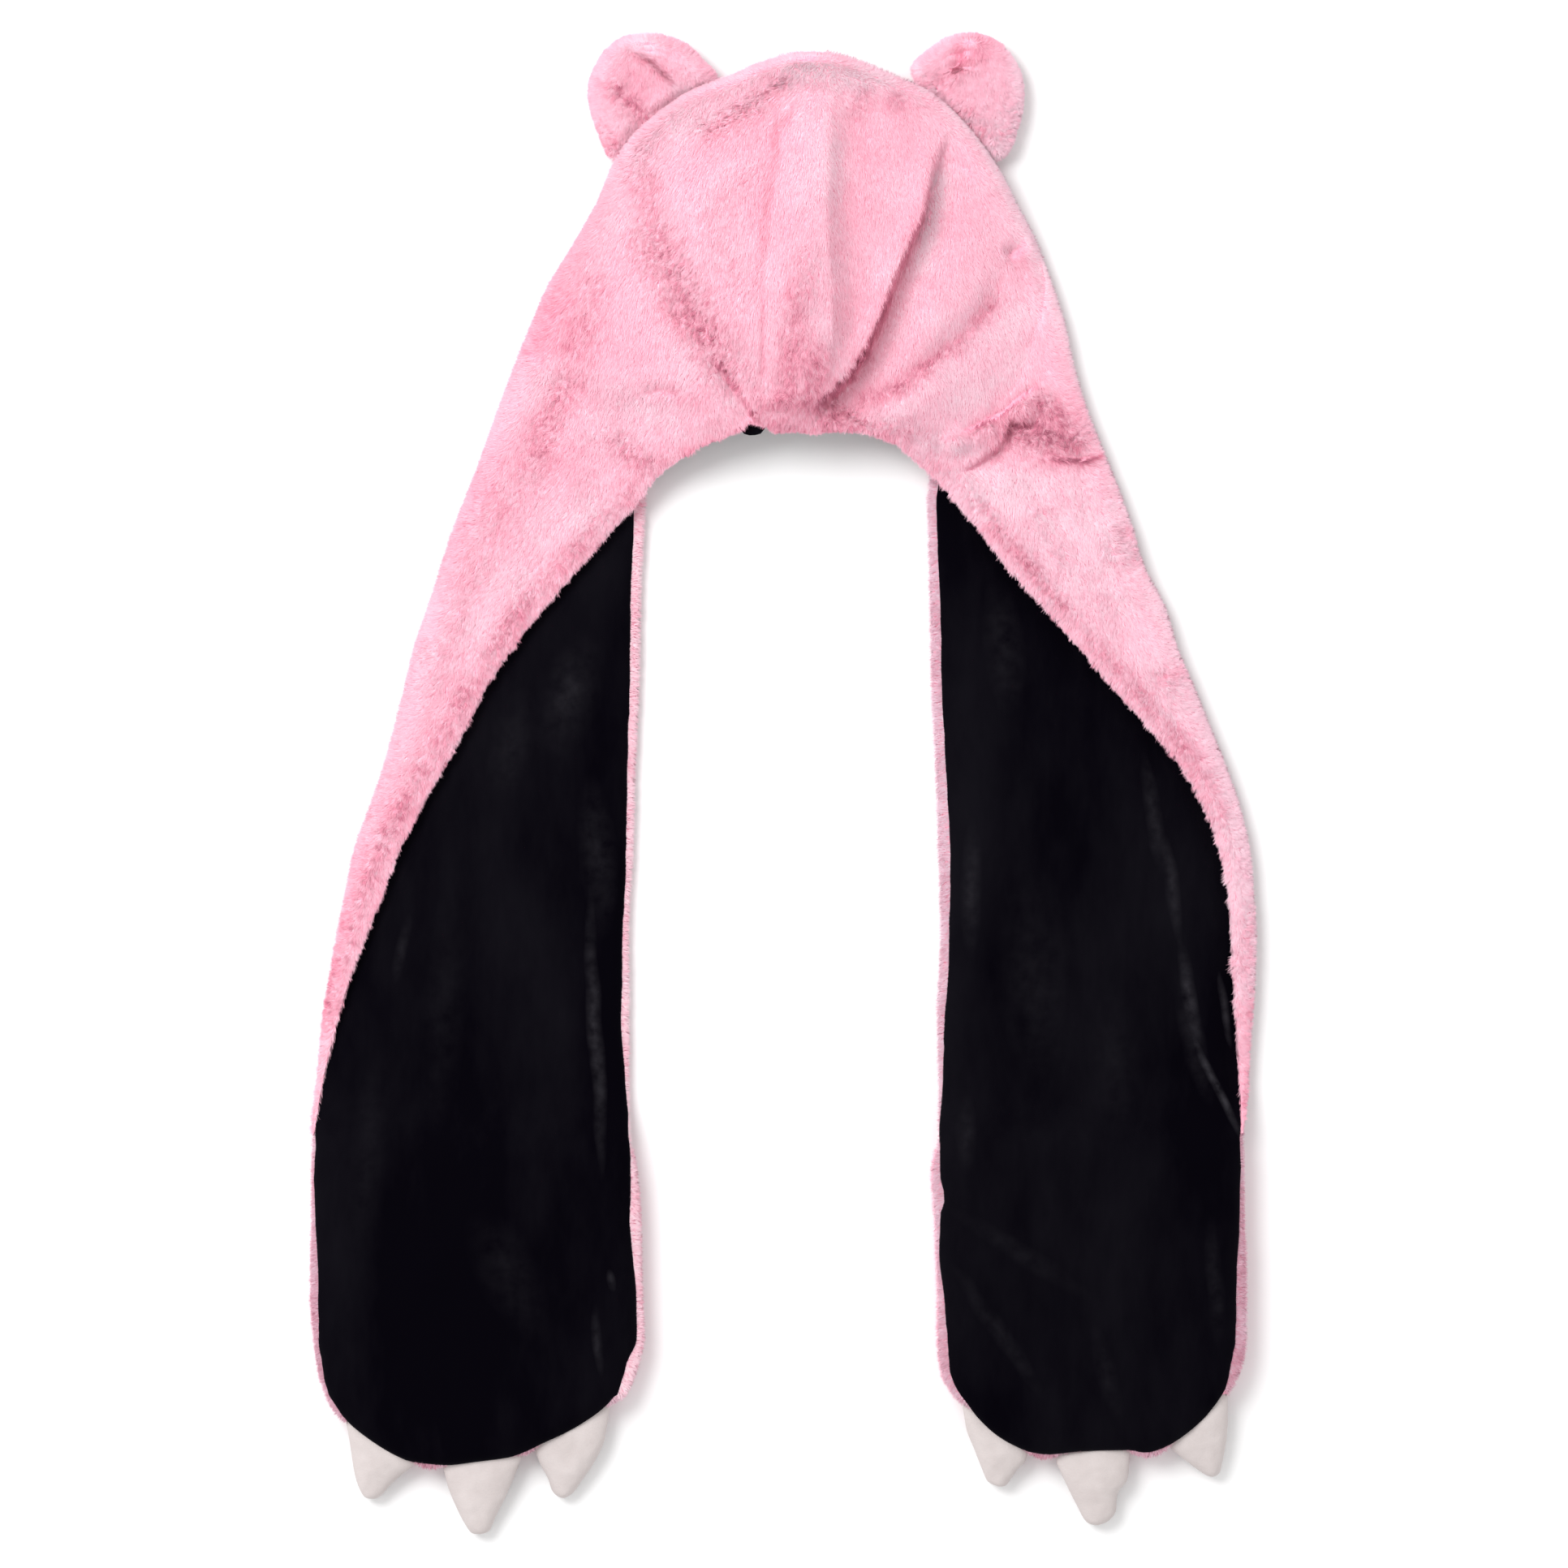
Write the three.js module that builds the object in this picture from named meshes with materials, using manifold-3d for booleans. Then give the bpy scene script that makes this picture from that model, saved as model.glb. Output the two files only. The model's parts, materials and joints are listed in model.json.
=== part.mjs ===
// Animal hood scarf: a plush hood with two ears, two long arms that end in
// clawed paws, laid flat with the back of the hood up.
// Millimetres, +Z up, +Y towards the crown, origin on the floor under the
// middle of the outline. Left is -X.
import * as THREE from 'three';
import { mergeVertices } from 'three/addons/utils/BufferGeometryUtils.js';
import Module from 'manifold-3d';

const wasm = await Module();
wasm.setup();

// ---------------------------------------------------------------- sizes
const GAP = 0.3;             // between pieces that touch
const FUR_DOWN = 9;          // fur cloth that the hood lies on, pile pressed
const FUR_UP = 12;           // fur cloth on top, pile standing
const LINING = 2.2;          // velvet with its backing
const PATCH = 7;             // fur patch of the hand pocket
const POCKET = 5.6;          // clear height left in the hand pocket
const POCKET_MOUTH = -224;   // y of the pocket's mouth
const RAMP_TOP = -186;        // y where the arm starts to rise over the pocket
const POCKET_SEAM = 9;       // sewn rim of the pocket
const SIDE_SEAM = 13;        // sewn margin along the outer fold
const ARM_SEAM = 4;          // fur showing beside the velvet
const ARM_END = -420.5;      // lowest row of the left paw
const BAND_END = -217;       // where the top band runs out
const CROWN = 452.2;         // topmost row of the hood
const NAPE = 216.5;          // middle of the nape edge
const FACE_TOP = 370;        // top of the face opening
const FACE_FOOT = 180;       // where the face opening meets the arms
const FACE_HALF = 88;        // half width of the face opening
const FACE_X = 1.5;          // its middle
const EAR_HALF = 11;         // half thickness of an ear
const EAR_Z = 13.5;

// Outer fold of the hood and arms, a row for each section.
const OUTLINE = [
  { y: 452.2, left:    9, right:  29 },
  { y: 446.0, left:  -13, right:  50 },
  { y: 435.0, left:  -38, right:  71 },
  { y: 413.0, left:  -72, right: 107 },
  { y: 383.0, left: -105, right: 132 },
  { y: 333.0, left: -130, right: 157 },
  { y: 283.0, left: -157, right: 174 },
  { y: 233.0, left: -176, right: 187 },
  { y: 183.0, left: -194, right: 206 },
  { y: 133.0, left: -212, right: 223 },
  { y:  83.0, left: -229, right: 243 },
  { y:  33.0, left: -241, right: 264 },
  { y: -17.0, left: -257, right: 282 },
  { y: -67.0, left: -271, right: 290 },
  { y:-117.0, left: -280, right: 292 },
  { y:-217.0, left: -291, right: 283 },
  { y:-317.0, left: -292, right: 285 },
  { y:-357.0, left: -288, right: 283 },
  { y:-377.0, left: -282, right: 272 },
  { y:-392.0, left: -270, right: 259 },
  { y:-407.0, left: -251, right: 238 },
  { y:-413.0, left: -240, right: 214 },
  { y:-417.5, left: -229, right: 199 },
  { y:-420.5, left: -213, right: 190 },
];

// Inner edges of the arms below the face opening.
const INNER = [
  { y:  183, left:  -86, right:  89 },
  { y:   83, left:  -87, right:  90 },
  { y:  -17, left:  -92, right:  94 },
  { y: -117, left:  -95, right:  96 },
  { y: -205, left:  -95, right:  94 },
  { y: -240, left:  -91, right:  91 },
  { y: -267, left:  -88, right:  95 },
  { y: -340, left:  -87, right:  95 },
  { y: -368, left:  -94, right: 101 },
  { y: -387, left: -113, right: 111 },
  { y: -400, left: -140, right: 128 },
  { y: -411, left: -168, right: 151 },
  { y: -417.5, left: -190, right: 168 },
  { y: -420.5, left: -205, right: 178 },
];

// Free edge of the top layer: nape, then the band down each arm.
const HEM = [
  { y:  216.5, left:   -8, right:  38 },
  { y:  214.0, left:  -34, right:  56 },
  { y:  208.0, left:  -50, right:  71 },
  { y:  197.0, left:  -67, right:  83 },
  { y:  183.0, left:  -77, right:  94 },
  { y:  158.0, left: -101, right: 116 },
  { y:  133.0, left: -124, right: 136 },
  { y:   83.0, left: -166, right: 181 },
  { y:   33.0, left: -195, right: 224 },
  { y:    3.0, left: -212, right: 248 },
  { y:  -42.0, left: -235, right: 268 },
  { y:  -92.0, left: -255, right: 273 },
  { y: -142.0, left: -272, right: 277 },
  { y: -217.0, left: -287, right: 280 },
];

// How far the hood's back stands off the layer below.
const PUFF = [
  { y: 446, rise:  1, half:  55, mid: 18 },
  { y: 425, rise: 16, half:  95, mid: 17 },
  { y: 395, rise: 34, half: 120, mid: 14 },
  { y: 350, rise: 46, half: 140, mid: 12 },
  { y: 300, rise: 48, half: 150, mid:  8 },
  { y: 255, rise: 40, half: 142, mid:  5 },
  { y: 216, rise: 27, half: 112, mid:  4 },
  { y: 170, rise: 10, half: 100, mid:  4 },
  { y: 130, rise:  0, half:  90, mid:  4 },
];

// Ridges (height above 0) and creases (below 0) of the hood's back.
const FOLDS = [
  { name: 'middle_ridge',  from: [ 12, 440], to: [  4, 225], height:   7, width: 24 },
  { name: 'right_crease',  from: [ 98, 402], to: [ 24, 222], height: -11, width: 11 },
  { name: 'right_valley',  from: [146, 330], to: [ 40, 220], height:  -7, width: 10 },
  { name: 'right_low',     from: [160, 234], to: [ 95, 200], height:  -5, width: 12 },
  { name: 'left_valley',   from: [-88, 385], to: [-16, 235], height: -10, width: 20 },
  { name: 'left_crease',   from: [-155, 268], to: [-100, 232], height: -4, width: 10 },
];

// Ears: centre, half sizes, and the crease that runs in from the rim.
const EARS = [
  { name: 'ear_left',  x: -82, y: 423.5, rx: 39, ry: 39.5, from: [-96, 452], to: [-58, 428] },
  { name: 'ear_right', x: 110, y: 423.5, rx: 38, ry: 39.5, from: [112, 450], to: [ 97, 424] },
];

// Claws: the two ends of the base seam and the tip.
const CLAWS = [
  { name: 'claw_left_1',  a: [-270, -392], b: [-227, -421], tip: [-255.5, -441] },
  { name: 'claw_left_2',  a: [-210, -421], b: [-159, -412], tip: [-190.0, -463] },
  { name: 'claw_left_3',  a: [-153, -411], b: [-107, -385], tip: [-134.5, -441] },
  { name: 'claw_right_1', a: [ 109, -384], b: [ 151, -412], tip: [ 131.5, -434] },
  { name: 'claw_right_2', a: [ 165, -414], b: [ 216, -412], tip: [ 196.0, -457] },
  { name: 'claw_right_3', a: [ 236, -408], b: [ 273, -375], tip: [ 264.5, -427] },
];

// ---------------------------------------------------------------- helpers
// Smooth curve through one column of a table that is sorted by falling y.
function column(table, key) {
  const rows = [...table].reverse();
  const n = rows.length;
  const slope = rows.slice(1).map((r, i) => (r[key] - rows[i][key]) / (r.y - rows[i].y));
  const tangent = rows.map((r, i) => {
    if (i === 0) return slope[0];
    if (i === n - 1) return slope[n - 2];
    return slope[i - 1] * slope[i] <= 0 ? 0 : 2 * slope[i - 1] * slope[i] / (slope[i - 1] + slope[i]);
  });
  return (y) => {
    if (y <= rows[0].y) return rows[0][key];
    if (y >= rows[n - 1].y) return rows[n - 1][key];
    let i = 0;
    while (rows[i + 1].y < y) i++;
    const h = rows[i + 1].y - rows[i].y;
    const t = (y - rows[i].y) / h;
    return (2 * t ** 3 - 3 * t ** 2 + 1) * rows[i][key] + (t ** 3 - 2 * t ** 2 + t) * h * tangent[i]
      + (-2 * t ** 3 + 3 * t ** 2) * rows[i + 1][key] + (t ** 3 - t ** 2) * h * tangent[i + 1];
  };
}
const clamp = THREE.MathUtils.clamp;
const smooth = (v, a, b) => THREE.MathUtils.smoothstep(v, a, b);
const round = (d, r) => Math.sqrt(1 - (1 - clamp(d / r, 0, 1)) ** 2);

function segmentDistance(x, y, [ax, ay], [bx, by]) {
  const t = clamp(((x - ax) * (bx - ax) + (y - ay) * (by - ay)) / ((bx - ax) ** 2 + (by - ay) ** 2), 0, 1);
  return { t, d: Math.hypot(x - ax - t * (bx - ax), y - ay - t * (by - ay)) };
}
const pathDistance = (path, x, y) => {
  let best = Infinity;
  for (let i = 1; i < path.length; i++) best = Math.min(best, segmentDistance(x, y, path[i - 1], path[i]).d);
  return best;
};
const steps = (a, b, size) => {
  const n = Math.max(1, Math.round(Math.abs(b - a) / size));
  return Array.from({ length: n + 1 }, (_, i) => a + (b - a) * i / n);
};

function solid(geometry) {
  geometry.deleteAttribute('normal');
  geometry.deleteAttribute('uv');
  const g = mergeVertices(geometry, 1e-4);
  return new wasm.Manifold(new wasm.Mesh({
    numProp: 3,
    vertProperties: new Float32Array(g.attributes.position.array),
    triVerts: new Uint32Array(g.index.array),
  }));
}

// Cloth laid on a surface: rows of constant y from left(y) to right(y), with
// its under side at low(x, y) and its upper side at high(x, y).
// rim is the list of column places in from each edge, square to that edge.
function cloth({ ys, left, right, rim, columns, low, high }) {
  const grid = ys.map((y) => {
    const x0 = left(y), x1 = right(y), width = x1 - x0;
    const [a, b] = [[left, x0, 1], [right, x1, -1]].map(([edge, x, sign]) => {
      const slant = Math.min(2.5, Math.hypot(1, (edge(y + 1) - edge(y - 1)) / 2));
      const squeeze = Math.min(slant, 0.42 * width / rim.at(-1));
      return rim.map((v) => x + sign * v * squeeze);
    });
    b.reverse();
    const inner = steps(a.at(-1), b[0], (b[0] - a.at(-1)) / columns).slice(1, -1);
    return [...a, ...inner, ...b].map((x) => [x, y]);
  });
  const m = grid[0].length, n = grid.length, points = [], index = [];
  for (const side of [high, low]) {
    for (const row of grid) for (const [x, y] of row) points.push(x, y, side(x, y));
  }
  const at = (layer, j, i) => layer * m * n + j * m + i;
  const quad = (a, b, c, d) => index.push(a, b, c, a, c, d);
  for (let j = 0; j + 1 < n; j++) {
    for (let i = 0; i + 1 < m; i++) {
      quad(at(0, j, i), at(0, j + 1, i), at(0, j + 1, i + 1), at(0, j, i + 1));
      quad(at(1, j, i), at(1, j, i + 1), at(1, j + 1, i + 1), at(1, j + 1, i));
    }
    quad(at(0, j, 0), at(1, j, 0), at(1, j + 1, 0), at(0, j + 1, 0));
    quad(at(0, j + 1, m - 1), at(1, j + 1, m - 1), at(1, j, m - 1), at(0, j, m - 1));
  }
  for (let i = 0; i + 1 < m; i++) {
    quad(at(0, 0, i), at(0, 0, i + 1), at(1, 0, i + 1), at(1, 0, i));
    quad(at(0, n - 1, i + 1), at(0, n - 1, i), at(1, n - 1, i), at(1, n - 1, i + 1));
  }
  const g = new THREE.BufferGeometry();
  g.setAttribute('position', new THREE.Float32BufferAttribute(points, 3));
  g.setIndex(index);
  return solid(g);
}

// Upright block over a closed path, from z0 to z1.
function block(path, z0, z1) {
  const g = new THREE.ExtrudeGeometry(new THREE.Shape(path.map(([x, y]) => new THREE.Vector2(x, y))),
    { depth: z1 - z0, bevelEnabled: false });
  g.translate(0, 0, z0);
  return solid(g);
}

const fur = new THREE.MeshStandardMaterial({ color: 0xf7b9cc, roughness: 0.95, metalness: 0 });
const velvet = new THREE.MeshStandardMaterial({ color: 0x100d14, roughness: 0.8, metalness: 0 });
const plush = new THREE.MeshStandardMaterial({ color: 0xe6dbda, roughness: 0.9, metalness: 0 });

const hood_scarf = new THREE.Group();
function add(name, body, material) {
  const { vertProperties, triVerts, numProp } = body.getMesh();
  const points = [];
  for (let i = 0; i < vertProperties.length; i += numProp) {
    points.push(vertProperties[i], vertProperties[i + 1], vertProperties[i + 2]);
  }
  const g = new THREE.BufferGeometry();
  g.setAttribute('position', new THREE.Float32BufferAttribute(points, 3));
  g.setIndex(Array.from(triVerts));
  g.computeVertexNormals();
  const mesh = new THREE.Mesh(g, material.clone());
  mesh.name = name;
  hood_scarf.add(mesh);
}

// ---------------------------------------------------------------- outlines
const outer = { left: column(OUTLINE, 'left'), right: column(OUTLINE, 'right') };
const inner = { left: column(INNER, 'left'), right: column(INNER, 'right') };
const hem = { left: column(HEM, 'left'), right: column(HEM, 'right') };
const puff = { rise: column(PUFF, 'rise'), half: column(PUFF, 'half'), mid: column(PUFF, 'mid') };

const crownRows = [CROWN, 449, 444, 436, 424, 408, 390];
const fold = {};
for (const side of ['left', 'right']) {
  fold[side] = [...crownRows, ...steps(370, ARM_END, 26)].map((y) => [outer[side](y), y]);
}
// Distance in from the outer fold, measured across the cloth.
const inFromFold = (x, y) => Math.min(pathDistance(fold.left, x, y), pathDistance(fold.right, x, y),
  y > 400 ? pathDistance([fold.left[0], fold.right[0]], x, y) : Infinity);

// Inner edge of each half of the lower layer, with the face opening's arch.
const middleSeam = (y) => FACE_X + 17.5 * smooth(y, FACE_TOP, CROWN);
function halfEdge(side, y) {
  const sign = side === 'left' ? -1 : 1;
  if (y >= FACE_TOP) return middleSeam(y) + sign * GAP / 2;
  if (y <= FACE_FOOT) return inner[side](y);
  const k = (y - FACE_FOOT) / (FACE_TOP - FACE_FOOT);
  return FACE_X + sign * (GAP / 2 + (FACE_HALF - GAP / 2) * Math.sqrt(1 - k * k));
}

// The arm rises over the hand pocket, with the top band on it.
const lift = (y) => (PATCH + POCKET) * clamp((RAMP_TOP - y) / (RAMP_TOP - POCKET_MOUTH), 0, 1);

// ---------------------------------------------------------------- hood back
function bell(x, y) {
  const u = clamp(Math.abs(x - puff.mid(y)) / puff.half(y), 0, 1);
  return puff.rise(y) * (1 - u * u) ** 1.15;
}
function creases(x, y) {
  let h = 0;
  for (const f of FOLDS) {
    const { t, d } = segmentDistance(x, y, f.from, f.to);
    h += f.height * Math.exp(-((d / f.width) ** 2)) * Math.sin(Math.PI * clamp(0.12 + 0.76 * t, 0, 1)) ** 0.5;
  }
  return h;
}
const SEAM_TOP = FUR_DOWN + GAP;
const LINING_TOP = SEAM_TOP + LINING + GAP;
const hoodUnder = (x, y) => {
  const stand = bell(x, y);
  const h = SEAM_TOP + (LINING_TOP - SEAM_TOP) * smooth(inFromFold(x, y), SIDE_SEAM - 5, SIDE_SEAM - 2.5);
  return lift(y) + h + stand + creases(x, y) * clamp((stand - 4) / 18, 0, 1);
};
const hoodOver = (x, y) => {
  const d = inFromFold(x, y);
  const stand = bell(x, y);
  return lift(y) + SEAM_TOP + (LINING_TOP - SEAM_TOP) * smooth(d, 0, SIDE_SEAM) + stand
    + 3 + (FUR_UP - 3) * round(d, 17)
    + creases(x, y) * clamp(0.3 + (stand - 4) / 18, 0.3, 1) * clamp(d / 20, 0, 1);
};

const hoodRows = [...crownRows, ...steps(370, NAPE, 19), ...steps(NAPE - 15, RAMP_TOP, 32), BAND_END];
const hemPath = [];
for (const y of [-260, ...steps(BAND_END, 3, 22), 33, 58, 83, 108, 133, 158, 183, 190, 197, 203, 208, 212, 214, 215.6]) {
  hemPath.push([hem.left(y), y]);
}
hemPath.push([hem.left(NAPE), NAPE]);
hemPath.push([hem.right(NAPE), NAPE]);
for (const y of [215.6, 214, 212, 208, 203, 197, 190, 183, 158, 133, 108, 83, 58, 33, ...steps(3, BAND_END, 22), -260]) {
  hemPath.push([hem.right(y), y]);
}
const belowHem = block(hemPath, -5, 120);

const hoodGrid = { ys: hoodRows, left: outer.left, right: outer.right, rim: [0, 4, 12.5, 24], columns: 13 };
add('hood_fur', cloth({ ...hoodGrid, low: hoodUnder, high: hoodOver }).subtract(belowHem), fur);

// Lining of the hood's back, only where the back stands clear of the arms.
const liningEdge = (side, y) => {
  const u = Math.sqrt(1 - clamp((LINING + 2 * GAP + 1.2) / puff.rise(y), 0, 0.98) ** (1 / 1.15));
  return puff.mid(y) + (side === 'left' ? -1 : 1) * u * puff.half(y);
};
const liningYs = steps(424, 190, 17);
const hollow = block([...liningYs.map((y) => [liningEdge('left', y), y]),
  ...liningYs.map((y) => [liningEdge('right', y), y]).reverse()], -5, 120);
add('hood_lining', cloth({
  ...hoodGrid,
  low: (x, y) => hoodUnder(x, y) - GAP - LINING,
  high: (x, y) => hoodUnder(x, y) - GAP,
}).intersect(hollow).subtract(belowHem), velvet);

// ---------------------------------------------------------------- claws
// A stuffed cone whose base lies along the paw's seam.
function claw({ a, b, tip }, grow) {
  const mid = [(a[0] + b[0]) / 2, (a[1] + b[1]) / 2];
  const half = Math.hypot(b[0] - a[0], b[1] - a[1]) / 2;
  const along = [(b[0] - a[0]) / (2 * half), (b[1] - a[1]) / (2 * half)];
  const SECTIONS = [
    { t: -0.12, wide: 0.96, thick: 5.0, z: 16.0 },
    { t:  0.10, wide: 0.94, thick: 6.6, z: 14.0 },
    { t:  0.40, wide: 0.72, thick: 8.0, z: 11.0 },
    { t:  0.70, wide: 0.43, thick: 7.0, z:  8.8 },
    { t:  0.94, wide: 0.24, thick: 4.6, z:  7.0 },
  ];
  const around = 10, points = [], index = [];
  for (const s of SECTIONS) {
    const t = s.t < 0 ? s.t - grow / 40 : s.t;
    const cx = mid[0] + (tip[0] - mid[0]) * t, cy = mid[1] + (tip[1] - mid[1]) * t;
    for (let i = 0; i < around; i++) {
      const q = i / around * 2 * Math.PI;
      const w = Math.cos(q) * (half * s.wide + grow);
      points.push(cx + along[0] * w, cy + along[1] * w, s.z + Math.sin(q) * (s.thick + grow));
    }
  }
  const last = SECTIONS.length - 1;
  const base = points.length / 3;
  points.push(mid[0] + (tip[0] - mid[0]) * (SECTIONS[0].t - grow / 40), mid[1] + (tip[1] - mid[1]) * (SECTIONS[0].t - grow / 40), SECTIONS[0].z);
  points.push(tip[0], tip[1] - grow, SECTIONS[last].z);
  for (let i = 0; i < around; i++) {
    const k = (i + 1) % around;
    for (let j = 0; j < last; j++) {
      const p = j * around + i, q = j * around + k, r = p + around, s = q + around;
      index.push(p, r, q, q, r, s);
    }
    index.push(base, i, k);
    index.push(base + 1, last * around + k, last * around + i);
  }
  const g = new THREE.BufferGeometry();
  g.setAttribute('position', new THREE.Float32BufferAttribute(points, 3));
  g.setIndex(index);
  const body = solid(g);
  return body.volume() < 0 ? solid(g.setIndex(index.reverse())) : body;
}
for (const c of CLAWS) add(c.name, claw(c, 0), plush);

// ---------------------------------------------------------------- arms
for (const side of ['left', 'right']) {
  const sign = side === 'left' ? -1 : 1;
  const end = side === 'left' ? ARM_END : ARM_END + 5;
  const foldEdge = outer[side];
  const faceEdge = (y) => halfEdge(side, y);
  const span = (inFold, inFace) => {
    const a = (y) => foldEdge(y) - sign * inFold(y);
    const b = (y) => faceEdge(y) + sign * inFace(y);
    return side === 'left' ? { left: a, right: b } : { left: b, right: a };
  };
  const pawRows = [-388, -398, -406, -412, end];
  const armRows = [CROWN, 444, 430, 408, 386, FACE_TOP, FACE_TOP - 1, 364, 354, 336, 305, 260, 215,
    ...steps(183, RAMP_TOP, 41), POCKET_MOUTH, -262, -305, -345, -368, -380, ...pawRows];
  const openEdge = armRows.filter((y) => y < FACE_TOP).map((y) => [faceEdge(y), y]);
  const inFromOpen = (x, y) => pathDistance(openEdge, x, y);
  const inFromEnd = (x, y) => y < -380 ? y - end : Infinity;
  const inFromAll = (x, y) => Math.min(pathDistance(fold[side], x, y), inFromOpen(x, y), inFromEnd(x, y));
  const under = (x, y) => lift(y) + 4.5 * (1 - round(inFromAll(x, y), 8)) * (1 - smooth(y, 372, 380));

  let body = cloth({
    ys: armRows, ...span(() => 0, () => 0), rim: [0, 3, 8], columns: 3,
    low: under,
    high: (x, y) => lift(y) + FUR_DOWN - 2.5 * (1 - round(Math.min(inFromOpen(x, y), inFromEnd(x, y)), 6)),
  });

  // Velvet panel on top of the arm, running up inside the hood.
  const liningRows = armRows.filter((y) => y < 435 && y !== FACE_TOP && y > end)
    .concat([end + 3.4]).sort((p, q) => q - p);
  const inFold = (y) => THREE.MathUtils.lerp(SIDE_SEAM + 1, ARM_SEAM, smooth(-y, -BAND_END - 40, -BAND_END));
  const lining = cloth({
    ys: liningRows, ...span(inFold, (y) => ARM_SEAM), rim: [0, 6], columns: 3,
    low: (x, y) => lift(y) + FUR_DOWN + GAP,
    high: (x, y) => lift(y) + FUR_DOWN + GAP + LINING,
  });

  // Fur patch of the hand pocket: sewn along its rim, open towards the hood.
  const patchRows = [POCKET_MOUTH, -262, -305, -345, -362, -375, -386, -396, -404, -410, end + 1];
  const patch = cloth({
    ys: patchRows, ...span(() => 1, () => 1), rim: [0, 3, POCKET_SEAM - 1, POCKET_SEAM + 3.5], columns: 3,
    low: (x, y) => 3.5 * (1 - round(inFromAll(x, y) - 1, 7)),
    high: (x, y) => PATCH + (POCKET - GAP) * (1 - smooth(inFromAll(x, y), POCKET_SEAM - 0.5, POCKET_SEAM + 1.5)),
  });

  const sockets = CLAWS.filter((c) => c.name.includes(side)).map((c) => claw(c, GAP + 0.1));
  let furPatch = patch;
  for (const s of sockets) {
    body = body.subtract(s);
    furPatch = furPatch.subtract(s);
  }
  add(`arm_fur_${side}`, body, fur);
  add(`arm_lining_${side}`, lining, velvet);
  add(`paw_pocket_${side}`, furPatch, fur);
}

// ---------------------------------------------------------------- ears
// A padded disc with a crease pressed into it, cut where it meets the hood.
const hoodSilhouette = [...fold.left.filter(([, y]) => y > 340), ...fold.right.filter(([, y]) => y > 340).reverse()];
const grown = hoodSilhouette.map(([x, y]) => [x + (x < 20 ? -1 : 1) * 0.5, y + 0.5]);
for (const e of EARS) {
  const profile = [[0, -1], [0.45, -0.97], [0.78, -0.8], [0.94, -0.5], [1, 0], [0.94, 0.5], [0.78, 0.8], [0.45, 0.97], [0, 1]];
  const g = new THREE.LatheGeometry(profile.map(([r, h]) => new THREE.Vector2(r, h)), 22);
  g.rotateX(Math.PI / 2);
  g.scale(e.rx, e.ry, EAR_HALF);
  g.translate(e.x, e.y, EAR_Z);
  const p = g.attributes.position;
  for (let i = 0; i < p.count; i++) {
    if (p.getZ(i) <= EAR_Z) continue;
    const { d } = segmentDistance(p.getX(i), p.getY(i), e.from, e.to);
    p.setZ(i, p.getZ(i) - 6 * Math.exp(-((d / 9) ** 2)));
  }
  add(e.name, solid(g).subtract(block(grown, -5, 60)), fur);
}

export default hood_scarf;
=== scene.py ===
import json
import math

import bpy
import numpy as np
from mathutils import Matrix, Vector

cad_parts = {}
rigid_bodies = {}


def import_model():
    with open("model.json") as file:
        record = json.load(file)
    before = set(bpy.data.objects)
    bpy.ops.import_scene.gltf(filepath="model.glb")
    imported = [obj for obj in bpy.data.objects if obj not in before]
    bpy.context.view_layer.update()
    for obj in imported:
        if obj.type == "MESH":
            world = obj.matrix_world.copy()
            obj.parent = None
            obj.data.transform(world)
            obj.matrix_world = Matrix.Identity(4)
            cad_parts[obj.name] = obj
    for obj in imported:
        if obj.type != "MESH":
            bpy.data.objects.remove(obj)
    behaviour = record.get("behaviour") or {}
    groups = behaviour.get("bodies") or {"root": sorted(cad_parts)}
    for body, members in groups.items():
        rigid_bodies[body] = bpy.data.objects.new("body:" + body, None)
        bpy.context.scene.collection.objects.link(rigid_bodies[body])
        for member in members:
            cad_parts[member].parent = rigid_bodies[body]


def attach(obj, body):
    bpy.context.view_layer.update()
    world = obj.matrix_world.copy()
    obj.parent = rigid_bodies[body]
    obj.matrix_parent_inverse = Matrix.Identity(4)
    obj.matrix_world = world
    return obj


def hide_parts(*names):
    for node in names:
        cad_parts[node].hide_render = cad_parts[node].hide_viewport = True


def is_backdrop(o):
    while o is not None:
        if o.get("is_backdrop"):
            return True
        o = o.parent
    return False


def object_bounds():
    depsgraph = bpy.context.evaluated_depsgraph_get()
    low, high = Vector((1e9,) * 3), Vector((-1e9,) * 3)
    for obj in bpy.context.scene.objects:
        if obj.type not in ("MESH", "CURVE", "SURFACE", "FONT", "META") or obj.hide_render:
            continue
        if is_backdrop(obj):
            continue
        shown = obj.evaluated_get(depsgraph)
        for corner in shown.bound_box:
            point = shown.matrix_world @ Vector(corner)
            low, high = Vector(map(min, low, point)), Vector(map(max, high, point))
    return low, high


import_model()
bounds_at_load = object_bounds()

# Animal hood scarf: plush hood with two ears, two long arms with clawed paws,
# laid flat with the back of the hood up. Tables are in millimetres, +Y to the
# crown, +X to the right, +Z up from the surface that it lies on.

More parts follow.
